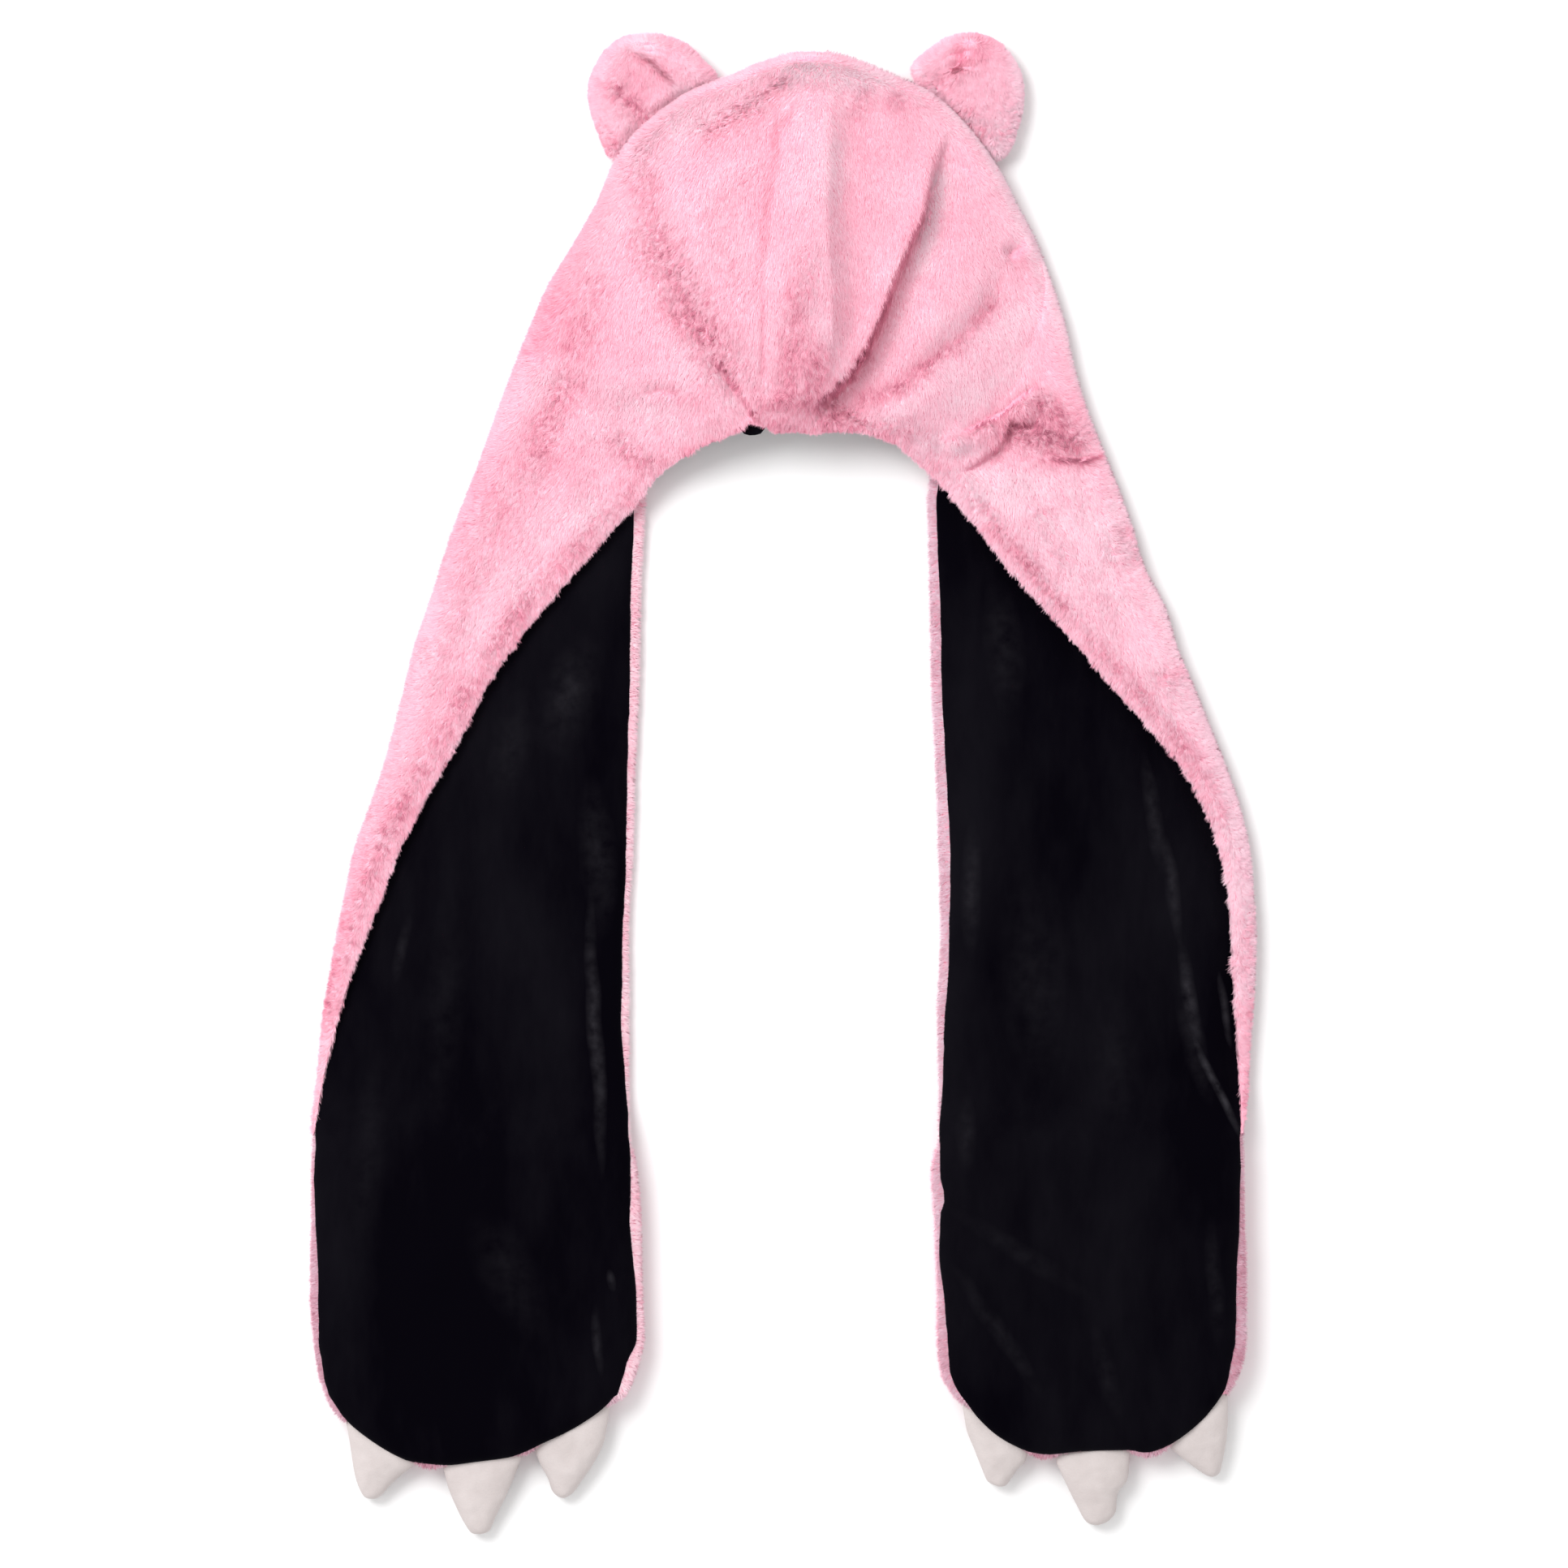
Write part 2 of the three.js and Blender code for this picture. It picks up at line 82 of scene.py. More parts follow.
# ------------------------------------------------------------------ tables
# Outer fold of the hood and arms.
SIDE = dict(
    y=[-376, -366, -356, -341, -316, -291, -266, -241, -216, -191, -166, -141, -116, -91, -66, -41, -16, 9, 34,
       59, 84, 109, 134, 159, 184, 209, 234, 259, 284, 309, 334, 359],
    left=[-282.3, -286.2, -288.2, -290, -292, -292, -291.3, -291.2, -290.6, -289.3, -287.3, -284.8, -280.3, -276,
          -270.8, -265.8, -256.8, -248.2, -241.2, -234.8, -228.8, -220.3, -212.3, -204.2, -194.2, -185.2, -176.3,
          -166.7, -156.7, -145.7, -130.2, -116],
    right=[273.7, 278.7, 283, 284.8, 285, 284.8, 283.8, 283.6, 283, 286.5, 287.8, 289.8, 291.2, 291.7, 290.2,
           287.8, 282.2, 273.8, 263.8, 253.8, 243.2, 235.7, 222.8, 215.2, 206.2, 196.2, 186.7, 179.3, 173.8,
           165.8, 156.8, 143.7])
CROWN = [(-116, 359), (-106, 383), (-93.2, 401.2), (-77, 415.2), (-60.7, 426.7), (-44, 433.5), (-30.7, 438.2),
         (-20.7, 443.4), (-10.7, 447), (-0.7, 450), (9.3, 452), (19.3, 452.2), (29.3, 451.3), (39.3, 449),
         (49.3, 445.4), (61.7, 440), (74.2, 434.7), (87.7, 429), (96.7, 422.7), (106.7, 413.7), (121.2, 397.2),
         (129.7, 385.2), (136.7, 373.7), (143.7, 359)]
# Free edge of the top layer, from the left band over the nape to the right band.
HEM_LEFT = [(-288.2, -216), (-284, -191), (-278.5, -166), (-272, -141), (-264.3, -116), (-254.8, -91),
            (-245.2, -66), (-235.2, -41), (-222.8, -16), (-208.8, 9), (-194.8, 34), (-181.8, 59), (-165.8, 84),
            (-145.8, 109), (-124.2, 134), (-101.8, 159)]
NAPE_EDGE = [(-101.8, 159), (-93, 168.5), (-83.2, 180.5), (-73.2, 191.7), (-63.2, 200.2), (-53.2, 206), (-43.2, 210.7),
             (-33.2, 214.2), (-23.2, 217.4), (-13.2, 217.8), (-3.2, 215.2), (6.8, 216), (16.8, 215.2), (26.8, 216),
             (36.8, 216.2), (46.8, 215.8), (56.8, 214), (66.8, 209.7), (76.8, 203.2), (86.8, 191.7), (96.8, 180.2),
             (106, 169), (115.2, 159)]
HEM_RIGHT = [(115.2, 159), (135.7, 134), (158.2, 109), (180.2, 84), (201.2, 59), (223.8, 34), (244, 9), (257.7, -16),
             (267, -41), (272, -66), (273.4, -91), (274.8, -116), (276.2, -141), (277.7, -166), (279.4, -191),
             (280.4, -216)]
# Inner edges below the face opening: fur, then the velvet's seam.
FUR_INNER = dict(
    y=[-376, -366, -356, -341, -316, -291, -266, -241, -216, -191, -141, -91, -41, 9, 59, 109, 184],
    left=[-96.8, -92.6, -89.4, -86.2, -87.2, -87.8, -88.4, -90.3, -94.3, -95.2, -95.2, -95.5, -92.8, -91.4, -89.1,
          -88.2, -84.5],
    right=[103.8, 97.8, 95.3, 94.2, 94.4, 93.3, 92.4, 90.6, 94.6, 94.9, 94.2, 96.2, 94.7, 93.2, 90.6, 89.6, 87.8])
VELVET_INNER = dict(
    y=[-376, -366, -356, -341, -316, -291, -270, -262, -254, -241, -216, -191, -166, -141, -116, -91, -66, -41, 9, 59,
       109, 159, 184],
    left=[-102.4, -99.5, -96.6, -90.2, -90.6, -92.8, -94.4, -94.6, -94.2, -93.8, -95.4, -97, -99, -100.2,
          -99.7, -99.2, -98, -97.4, -96.5, -95, -94.4, -92.6, -92],
    right=[108.7, 103.2, 101.2, 100.2, 98.2, 95.5, 95.4, 96.2, 98.8, 95.8, 95.6, 97.2, 98.2, 99.2, 101.2, 101.7, 102.2,
           102.2, 99.7, 97.2, 96.2, 94.2, 93.6])
VELVET_OUTER = dict(
    y=[-376, -366, -356, -341, -316, -291, -270, -262, -254, -241, -216, -200],
    left=[-279.6, -282.6, -284.2, -286, -286.3, -286.8, -288, -288.2, -288.6, -288.9, -287, -282],
    right=[268.8, 273, 274.6, 277.6, 278.2, 278.8, 280.2, 280, 280.3, 280.6, 279.6, 276])
# Lower end of the velvet on each paw, from the outer side to the inner side.
VELVET_END = dict(
    left=[(-279.6, -376), (-268.3, -391.7), (-258.3, -400.2), (-248.3, -407.2), (-238.3, -412.8), (-228.3, -416.7),
          (-208.3, -418.7), (-188.3, -416.5), (-168.3, -413.7), (-158.3, -410.2), (-148.3, -405.2), (-138.3, -400.7),
          (-128.3, -395.5), (-118.3, -389.2), (-110, -382.6), (-103.7, -376)],
    right=[(268.8, -376), (261.8, -385.7), (251.8, -395.7), (241.8, -403.2), (231.8, -408.7), (221.8, -411.2),
           (211.8, -409.4), (196, -409.6), (181.8, -410.2), (161.8, -412.2), (151.8, -410.8), (141.8, -406.7),
           (131.8, -401), (121.8, -392.2), (114, -383), (108.7, -376)])

# How far the hood's back stands off the layer below.
PUFF = dict(
    y=[446, 425, 395, 350, 300, 255, 216, 170, 130],
    rise=[1, 16, 34, 46, 48, 40, 27, 10, 0],
    half=[55, 95, 120, 140, 150, 142, 112, 100, 90],
    mid=[18, 17, 14, 12, 8, 5, 4, 4, 4])

# Folds of the hood's back and bands. valley and ridge are even on both sides;
# step drops over near on the side named by low, seen along the path, and comes
# back over far. dark and wide tell how deep the painted shade in the pile's colour gets in the low.
FOLDS = [
    dict(kind="step", low="left", height=15, near=4, far=22, taper=(0.25, 0.10), dark=1.0, wide=3.4, lip=0.2,
         path=[(100, 402), (93, 388), (88, 371), (84, 348), (74, 326), (64, 303), (57, 283), (49, 266), (39, 251),
               (26, 238), (20, 228)]),
    dict(kind="step", low="left", height=5.2, near=17, far=34, taper=(0.30, 0.12), dark=0.08, wide=12, lip=0.3, crisp=1,
         path=[(34, 440), (29, 418), (27, 391), (26, 371), (26, 348), (27, 323), (29, 298), (29, 273), (26, 253), (22, 238)]),
    dict(kind="step", low="right", height=5.5, near=8, far=26, taper=(0.12, 0.25), dark=0.26, wide=6, lip=0.25, crisp=1,
         path=[(8, 420), (4, 410), (0, 400), (-1, 388), (-5, 366), (-9, 341), (-12, 313), (-14, 278)]),
    dict(kind="ridge", height=6, near=19, far=16, taper=(0.15, 0.15), path=[(22, 446), (15, 380), (9, 300), (5, 225)]),
    dict(kind="ridge", height=4, near=13, far=12, taper=(0.4, 0.02), path=[(-2, 246), (0, 232), (1, 216)]),
    dict(kind="valley", height=2, near=2.2, far=1.4, taper=(0.15, 0.15), dark=0.5, wide=1.5, path=[(-12.2, 330), (-12.7, 240)]),
    dict(kind="valley", height=3, near=10, far=10, taper=(0.3, 0.1), dark=0.3, path=[(14, 300), (4, 273), (-1, 233)]),
    dict(kind="valley", height=8.5, near=15, far=17, taper=(0.25, 0.5), dark=0.22,
         path=[(-85.7, 383), (-80.7, 353), (-70.7, 318), (-58.2, 290.7), (-43.2, 268.2), (-30.7, 248), (-15.7, 223)]),
    dict(kind="step", low="left", height=2.5, near=8, far=12, taper=(0.4, 0.3), dark=0.12, wide=8,
         path=[(-84, 300), (-75, 287), (-62, 277), (-50, 268)]),
    dict(kind="step", low="right", height=5.5, near=3, far=9, taper=(0.3, 0.15), dark=0.9, wide=2.2,
         path=[(-50, 268), (-36, 255), (-24, 237), (-14, 220)]),
    dict(kind="valley", height=4, near=5, far=5, taper=(0.2, 0.3), dark=0.6, path=[(149, 333), (141, 328), (135, 322)]),
    dict(kind="valley", height=4.2, near=8, far=7, taper=(0.25, 0.3), dark=0.45,
         path=[(137, 324), (132, 309), (125, 293), (110, 277), (95.5, 265), (81.5, 254.7), (68, 243.5), (52, 230.5)]),
    dict(kind="ridge", height=0.4, near=16, far=9, taper=(0.2, 0.2),
         path=[(166, 312), (130, 280), (100, 257), (76, 243), (50, 226)]),
    dict(kind="valley", height=3.2, near=3.4, far=3, taper=(0.3, 0.2), dark=1.5, wide=1.9,
         path=[(160, 252), (147, 241), (134.5, 230.5), (123, 223.2), (106, 216)]),
    dict(kind="ridge", height=5, near=6.5, far=7, taper=(0.01, 0.01), path=[(143, 229), (149, 231)]),
    dict(kind="valley", height=3.4, near=4.2, far=3, taper=(0.2, 0.3), dark=0.75, wide=3,
         path=[(136.5, 228), (139, 223.5), (145, 220.2), (152, 222), (158, 229)]),
    dict(kind="ridge", height=7, near=7, far=7, taper=(0.3, 0.03), path=[(96, 207), (112, 212), (128, 219)]),
    dict(kind="step", low="left", height=8, near=3.5, far=14, taper=(0.1, 0.25), dark=0.5, wide=5,
         path=[(137.5, 227), (135.5, 216.5), (129, 208), (117.5, 201), (106, 195)]),
    dict(kind="valley", height=4, near=14, far=12, taper=(0.25, 0.25), dark=0.35, path=[(146, 218), (164, 215), (182, 210)]),
    dict(kind="step", low="left", height=6, near=3, far=8, taper=(0.5, 0.03), dark=1.3, wide=2.0,
         path=[(150, 200.5), (161, 200), (173, 199), (184, 198), (196, 201.5)]),
    dict(kind="valley", height=5, near=11, far=12, taper=(0.15, 0.1), dark=0.12, path=[(-53.2, 400.7), (-30.7, 418), (6, 440)]),
    dict(kind="step", low="right", height=1.2, near=4, far=8, taper=(0.3, 0.2), dark=0.15, wide=5,
         path=[(16, 446), (4, 436), (-6, 426), (-8.5, 417)]),
    dict(kind="valley", height=1.5, near=3, far=3, taper=(0.2, 0.2), dark=0.7, wide=1.8, path=[(8, 421), (5, 411), (1, 401)]),
    dict(kind="valley", height=4, near=9, far=9, taper=(0.1, 0.3), dark=0.2, path=[(-165, 272), (-138.2, 252.2), (-103.2, 233.2)]),
    dict(kind="valley", height=2.4, near=4, far=3, taper=(0.4, 0.4), dark=0.5, path=[(-90, 242), (-74, 242), (-58, 239)]),
    dict(kind="valley", height=3, near=4, far=3, taper=(0.1, 0.4), dark=0.5, path=[(-160, 268), (-149, 263)]),
    dict(kind="valley", height=6, near=4, far=6, taper=(0.02, 0.3), dark=0.7, path=[(219, 152), (211, 152), (204, 156)]),
    dict(kind="ridge", height=5, near=7, far=7, taper=(0.02, 0.3), path=[(222, 143), (206, 140), (194, 146)]),
    dict(kind="valley", height=5, near=5, far=6, taper=(0.02, 0.3), dark=0.5, path=[(246, 72), (232, 66), (222, 68)]),
    dict(kind="valley", height=4, near=13, far=12, taper=(0.3, 0.3), dark=0.35, path=[(-120, 300), (-133, 257), (-149, 221), (-155, 193)]),
]
# Where the pile's colour is deeper than the rest, or paler when much is below 0: mostly painted shade and painted
# light, with some of the pile's own patchy tone.
SHADE_LIGHT_TONES = [
    dict(a=(18, 262), b=(20, 240), width=9, much=0.55), dict(a=(-8, 232), b=(32, 226), width=9, much=0.45),
    dict(a=(48, 239), b=(68, 244), width=6, much=0.4), dict(a=(28, 276), b=(20, 290), width=9, much=-0.35),
    dict(a=(-138, 256), b=(-150, 236), width=8, much=-0.4), dict(a=(-60, 402), b=(-44, 410), width=9, much=-0.3),
    dict(a=(95, 372), b=(84, 320), width=6, much=-0.8), dict(a=(-62, 262), b=(-34, 238), width=10, much=-0.4),
    dict(a=(64, 226), b=(100, 254), width=7, much=-0.35), dict(a=(-88, 395), b=(-84, 385), width=9, much=-0.2),
    dict(a=(60, 432), b=(70, 412), width=13, much=0.30), dict(a=(-14, 390), b=(-8, 380), width=12, much=0.22),
    dict(a=(-146, 276), b=(-136, 306), width=12, much=0.65), dict(a=(-124, 330), b=(-112, 362), width=10, much=0.25),
    dict(a=(-112, 266), b=(-76, 258), width=11, much=0.35), dict(a=(140, 221), b=(170, 224), width=11, much=0.42),
    dict(a=(114, 187), b=(180, 186), width=9, much=-0.5), dict(a=(112, 236), b=(150, 262), width=9, much=-0.45),
    dict(a=(162, 230), b=(170, 240), width=8, much=0.35), dict(a=(-115, 310), b=(-112, 300), width=9, much=0.22),
    dict(a=(-185, 185), b=(-165, 165), width=16, much=0.28), dict(a=(-140, 208), b=(-138, 200), width=10, much=0.2),
    dict(a=(-60, 205), b=(-22, 216), width=4.5, much=0.8), dict(a=(-22, 215), b=(40, 214), width=5, much=0.6),
    dict(a=(56, 212), b=(92, 182), width=5, much=0.7), dict(a=(100, 172), b=(118, 156), width=4, much=0.5),
    dict(a=(104, 420), b=(132, 385), width=8, much=-0.7), dict(a=(132, 385), b=(184, 262), width=8, much=-0.8),
    dict(a=(184, 262), b=(236, 112), width=9, much=-0.8), dict(a=(236, 112), b=(284, -30), width=10, much=-0.7),
    dict(a=(284, -30), b=(290, -130), width=9, much=-0.8), dict(a=(142, 328), b=(146, 324), width=6, much=0.35),
    dict(a=(120, 276), b=(146, 290), width=12, much=-0.35), dict(a=(45, 434), b=(84, 428), width=7, much=-0.5),
    dict(a=(10, 340), b=(2, 300), width=10, much=0.2), dict(a=(50, 330), b=(44, 300), width=9, much=0.15),
    dict(a=(84, 366), b=(80, 340), width=6, much=0.25), dict(a=(62, 300), b=(58, 272), width=7, much=0.3),
    dict(a=(110, 176), b=(124, 186), width=14, much=-0.3), dict(a=(140, 170), b=(215, 150), width=26, much=-0.35),
    dict(a=(170, 120), b=(232, 110), width=26, much=-0.35), dict(a=(225, 70), b=(262, 30), width=18, much=-0.35),
    dict(a=(265, 10), b=(288, -120), width=13, much=-0.35), dict(a=(-205, 82), b=(-125, 178), width=17, much=-0.28),
    dict(a=(-40, 415), b=(-20, 425), width=9, much=-0.2), dict(a=(14, 440), b=(32, 436), width=9, much=-0.3), dict(a=(30, 425), b=(30, 340), width=7, much=-0.35),
    dict(a=(-95, 345), b=(-30, 335), width=14, much=-0.15), dict(a=(110, 290), b=(160, 270), width=16, much=-0.15),
    dict(a=(-104, 242), b=(-62, 216), width=10, much=-0.32), dict(a=(-122, 165), b=(-100, 168), width=10, much=-0.3), dict(a=(190, 240), b=(196, 205), width=9, much=-0.3),
    dict(a=(150, 340), b=(184, 250), width=9, much=-0.3),
    dict(a=(2, 440), b=(62, 433), width=6.5, much=-0.55), dict(a=(86, 209), b=(112, 210), width=7, much=-0.5), dict(a=(150, 280), b=(156, 262), width=9, much=0.35),
    dict(a=(46, 410), b=(50, 385), width=10, much=0.3), dict(a=(8, 410), b=(24, 385), width=10, much=-0.3),
]
# Where slopes are lit as if they were level.
EVEN = [
    dict(a=(-64, 264), b=(-32, 236), width=12, much=0.75), dict(a=(96, 372), b=(86, 335), width=7, much=0.8),
    dict(a=(-60, 218), b=(-90, 205), width=12, much=0.5), dict(a=(0, 440), b=(64, 433), width=9, much=0.9),
    dict(a=(62, 226), b=(132, 282), width=9, much=0.6), dict(a=(-130, 170), b=(-190, 90), width=18, much=0.5),
]
# Where the pile stands up in tufts.
TUFTS = [
    dict(a=(-80, 335), b=(-34, 252), width=18, much=0.78),
    dict(a=(20, 264), b=(16, 240), width=9, much=0.6),
    dict(a=(-6, 237), b=(28, 229), width=10, much=0.65),
    dict(a=(130, 300), b=(110, 274), width=6, much=0.6),
    dict(a=(110, 274), b=(70, 243), width=6, much=0.6),
    dict(a=(-88, 388), b=(-80, 335), width=12, much=0.5),
    dict(a=(-46, 402), b=(-16, 420), width=11, much=0.55),
    dict(a=(-14, 422), b=(0, 433), width=6, much=0.6),
    dict(a=(66, 421), b=(68, 419), width=6, much=0.4),
    dict(a=(15, 318), b=(2, 238), width=11, much=0.55),
    dict(a=(-24, 250), b=(-10, 228), width=8, much=0.5),
    dict(a=(49, 429), b=(44, 412), width=6, much=0.45),
    dict(a=(-115, 307), b=(-133, 257), width=13, much=0.4),
    dict(a=(-133, 250), b=(-152, 200), width=14, much=0.6),
    dict(a=(146, 217), b=(180, 212), width=12, much=0.95),
    dict(a=(158, 236), b=(172, 224), width=9, much=0.85),
    dict(a=(98, 208), b=(128, 219), width=7, much=0.4),
    dict(a=(144, 229), b=(148, 231), width=7, much=0.4),
    dict(a=(88, 213), b=(130, 205), width=9, much=0.5),
    dict(a=(44, 232), b=(80, 252), width=7, much=0.4),
    dict(a=(50, 262), b=(24, 234), width=7, much=0.5),
    dict(a=(-40, 332), b=(-25, 300), width=15, much=0.3),
    dict(a=(-112, 238), b=(-58, 238), width=11, much=0.4),
    dict(a=(-128, 208), b=(-66, 226), width=15, much=0.3),
    dict(a=(205, 157), b=(220, 140), width=9, much=0.6),
    dict(a=(232, 68), b=(244, 64), width=9, much=0.6),
    dict(a=(-12, 228), b=(4, 222), width=10, much=0.5),
    dict(a=(30, 224), b=(76, 218), width=10, much=0.7),
    dict(a=(-20, 372), b=(-45, 350), width=10, much=0.3),
    dict(a=(-103, 213), b=(-83, 197), width=11, much=0.7),
    dict(a=(-155, 193), b=(-186, 156), width=14, much=0.5),
    dict(a=(-186, 156), b=(-215, 60), width=12, much=0.35),
    dict(a=(228, 72), b=(262, 10), width=12, much=0.35),
    dict(a=(195, 180), b=(205, 165), width=10, much=0.3),
]

# Ears: middle, rim as angle in degrees and radius, folds as in FOLDS.
# tones deepen or pale the pile's colour as painted shade (much above 0) and painted light (much below 0).
EARS = [
    dict(name="ear_left", x=-82, y=423,
         angle=[5, 16.5, 36.6, 57, 73, 88.2, 102.7, 117.3, 135.5, 148.7, 164.8, 179.6, 195, 211, 225.5, 239.5, 252, 270,
                290, 308, 330, 350],
         radius=[40, 42.5, 39, 39, 38.4, 38.8, 39.6, 40.6, 40.2, 39.2, 39, 38.4, 37.6, 38.4, 41.4, 45, 40, 29, 24, 23, 25,
                 31],
         folds=[dict(kind="step", low="left", height=6.8, near=7, far=16, taper=(0.35, 0.45), dark=0.25, wide=7, lip=0.2, crisp=1,
                     path=[(-101, 457), (-94, 451), (-84, 443), (-71, 431), (-62, 422)]),
                dict(kind="valley", height=4, near=9, far=8, taper=(0.3, 0.2), dark=0.4,
                     path=[(-106, 431), (-95, 421), (-82, 407)])],
         tufts=[dict(a=(-105, 430), b=(-80, 409), width=8, much=0.6), dict(a=(-74, 442), b=(-62, 437), width=8, much=0.3),
                dict(a=(-112, 404), b=(-102, 388), width=9, much=0.8)],
         tones=[dict(a=(-106, 448), b=(-92, 430), width=9, much=0.28), dict(a=(-88, 459), b=(-84, 456), width=6, much=-0.5),
                dict(a=(-66, 431), b=(-62, 428), width=6, much=-0.5)]),
    dict(name="ear_right", x=109, y=423,
         angle=[0.4, 15.2, 30.6, 41.5, 60.5, 75.4, 89.6, 105.3, 125, 146.4, 160, 180, 200, 221, 240, 260, 280, 295, 301.5,
                316.4, 330, 345.3],
         radius=[38.3, 39.1, 39.8, 40.4, 41, 40.4, 38.8, 37, 35, 35.7, 29, 19, 15.5, 14, 15, 18.5, 27, 41, 45.2, 43, 39.5,
                 38.4],
         folds=[dict(kind="step", low="left", height=6.8, near=6, far=14, taper=(0.03, 0.3), dark=0.15, wide=8, lip=0.2, crisp=1,
                     path=[(94.5, 418), (98.9, 426.8), (103.8, 433.8), (110.1, 440.9), (115.7, 445.4), (121.5, 447)]),
                dict(kind="valley", height=3, near=5, far=4, taper=(0.2, 0.1), dark=0.2,
                     path=[(84, 435.5), (93, 431.5), (99, 427)]),
                dict(kind="valley", height=5, near=6, far=4, taper=(0.1, 0.4), dark=0.5,
                     path=[(109, 440), (109, 449), (108, 458)])],
         tufts=[dict(a=(112, 411), b=(134, 394), width=14, much=0.7), dict(a=(138, 416), b=(142, 402), width=8, much=0.6),
                dict(a=(88, 434), b=(104, 436), width=7, much=0.5)],
         tones=[dict(a=(112, 448), b=(118, 451), width=8, much=0.6), dict(a=(140, 450), b=(149, 415), width=7, much=-0.8),
                dict(a=(149, 415), b=(140, 390), width=7, much=-0.7), dict(a=(120, 390), b=(134, 390), width=7, much=-0.7),
                dict(a=(84, 438), b=(92, 432), width=6, much=-0.5), dict(a=(100, 416), b=(112, 404), width=6, much=-0.4)]),
]

# Claws: the two sides from the seam to the tip.
CLAWS = [
    dict(name="claw_left_1",
         a=[(-270, -391.6), (-267.9, -405.3), (-265.2, -424.5), (-262.4, -434.1), (-258.3, -440.2), (-253.8, -441)],
         b=[(-226, -419), (-234.4, -425.2), (-242.6, -432.8), (-248, -438.9), (-251, -440.6), (-253.8, -441)]),
    dict(name="claw_left_2",
         a=[(-210.3, -420.4), (-207.5, -432.7), (-202.1, -446.5), (-197.3, -456.1), (-192.5, -462.2), (-187.5, -463)],
         b=[(-161, -414.2), (-165.8, -427.3), (-171.2, -439.6), (-177.4, -451.9), (-181.5, -460.8), (-187.5, -463)]),
    dict(name="claw_left_3",
         a=[(-154.1, -409.4), (-150.7, -419), (-145.8, -428.6), (-143.2, -436.2), (-138.4, -440.2), (-135.5, -440.8)],
         b=[(-106.8, -383.3), (-110.2, -404), (-116.4, -417.7), (-124.6, -430), (-130.1, -437.5), (-135.5, -440.8)]),
    dict(name="claw_right_1",
         a=[(109.8, -384.5), (111.9, -397.1), (116.8, -409.7), (121.7, -422.3), (125.2, -430), (132.5, -433.6)],
         b=[(150.5, -412.5), (149, -417.4), (144.9, -421.7), (140.7, -428), (136.5, -433), (132.5, -433.6)]),
    dict(name="claw_right_2",
         a=[(167.3, -418.1), (173, -430.7), (180, -444.7), (186.3, -455.3), (190, -456.9), (194, -457.4)],
         b=[(213.7, -410.4), (212.2, -428), (205.9, -437.7), (205.2, -447.6), (201, -454), (194, -457.4)]),
    dict(name="claw_right_3",
         a=[(237.5, -409), (247.3, -417.4), (255.7, -423.7), (260, -426.5), (264, -427.6), (267, -426.5)],
         b=[(273.3, -373.3), (273.7, -392.9), (272.6, -406.9), (270.5, -418), (269.4, -424), (267, -426.5)]),
]


# ----------------------------------------------------------------- helpers
def column(ys, values):
    """Smooth curve through the values, without overshoot."""
    order = np.argsort(ys)
    x, v = np.asarray(ys, float)[order], np.asarray(values, float)[order]
    h = np.diff(x)
    s = np.diff(v) / h
    m = np.zeros_like(v)
    m[0], m[-1] = s[0], s[-1]
    if len(v) > 2:
        p = s[:-1] * s[1:]
        m[1:-1] = np.where(p > 0, 2 * p / np.where(p > 0, s[:-1] + s[1:], 1), 0)

    def at(q):
        q = np.clip(np.asarray(q, float), x[0], x[-1])
        i = np.clip(np.searchsorted(x, q, side="right") - 1, 0, len(x) - 2)
        t = (q - x[i]) / h[i]
        return ((2 * t**3 - 3 * t**2 + 1) * v[i] + (t**3 - 2 * t**2 + t) * h[i] * m[i]
                + (3 * t**2 - 2 * t**3) * v[i + 1] + (t**3 - t**2) * h[i] * m[i + 1])
    return at


def along(points):
    """Smooth path through points, as a function of 0 to 1 along it, and its length."""
    p = np.asarray(points, float)
    s = np.concatenate([[0], np.cumsum(np.hypot(*np.diff(p, axis=0).T))])
    fx, fy = column(s, p[:, 0]), column(s, p[:, 1])
    return (lambda t: np.stack([fx(np.asarray(t) * s[-1]), fy(np.asarray(t) * s[-1])], -1)), s[-1]


def ease(v, a, b):
    t = np.clip((v - a) / (b - a), 0, 1)
    return t * t * (3 - 2 * t)


def swell(d, r):
    return np.sqrt(np.clip(1 - (1 - np.clip(d / r, 0, 1)) ** 2, 0, 1))


def near_path(x, y, path):
    """Distance to a path, place 0 to 1 along it and the side, +1 on the left."""
    p = np.asarray(path, float)
    seg = np.diff(p, axis=0)
    lens = np.hypot(seg[:, 0], seg[:, 1])
    start = np.concatenate([[0], np.cumsum(lens)])
    best = np.full(x.shape, np.inf)
    place = np.zeros(x.shape)
    side = np.ones(x.shape)
    for i, (dx, dy) in enumerate(seg):
        t = np.clip(((x - p[i, 0]) * dx + (y - p[i, 1]) * dy) / (lens[i] ** 2 + 1e-12), 0, 1)
        ex, ey = x - p[i, 0] - t * dx, y - p[i, 1] - t * dy
        d = ex * ex + ey * ey
        hit = d < best
        best = np.where(hit, d, best)
        place = np.where(hit, (start[i] + t * lens[i]) / start[-1], place)
        side = np.where(hit, np.where(dx * ey - dy * ex >= 0, 1.0, -1.0), side)
    return np.sqrt(best), place, side


def far_from(x, y, path, step=1):
    return near_path(x, y, np.asarray(path)[::step])[0]


def hashed(ix, iy, seed):
    h = (ix.astype(np.int64) * 374761393 + iy.astype(np.int64) * 668265263 + seed * 974634777) & 0xFFFFFFFF
    h = ((h ^ (h >> 13)) * 1274126177) & 0xFFFFFFFF
    h = ((h ^ (h >> 16)) * 2246822519) & 0xFFFFFFFF
    return ((h ^ (h >> 15)) & 0xFFFFFF) / float(0x1000000)


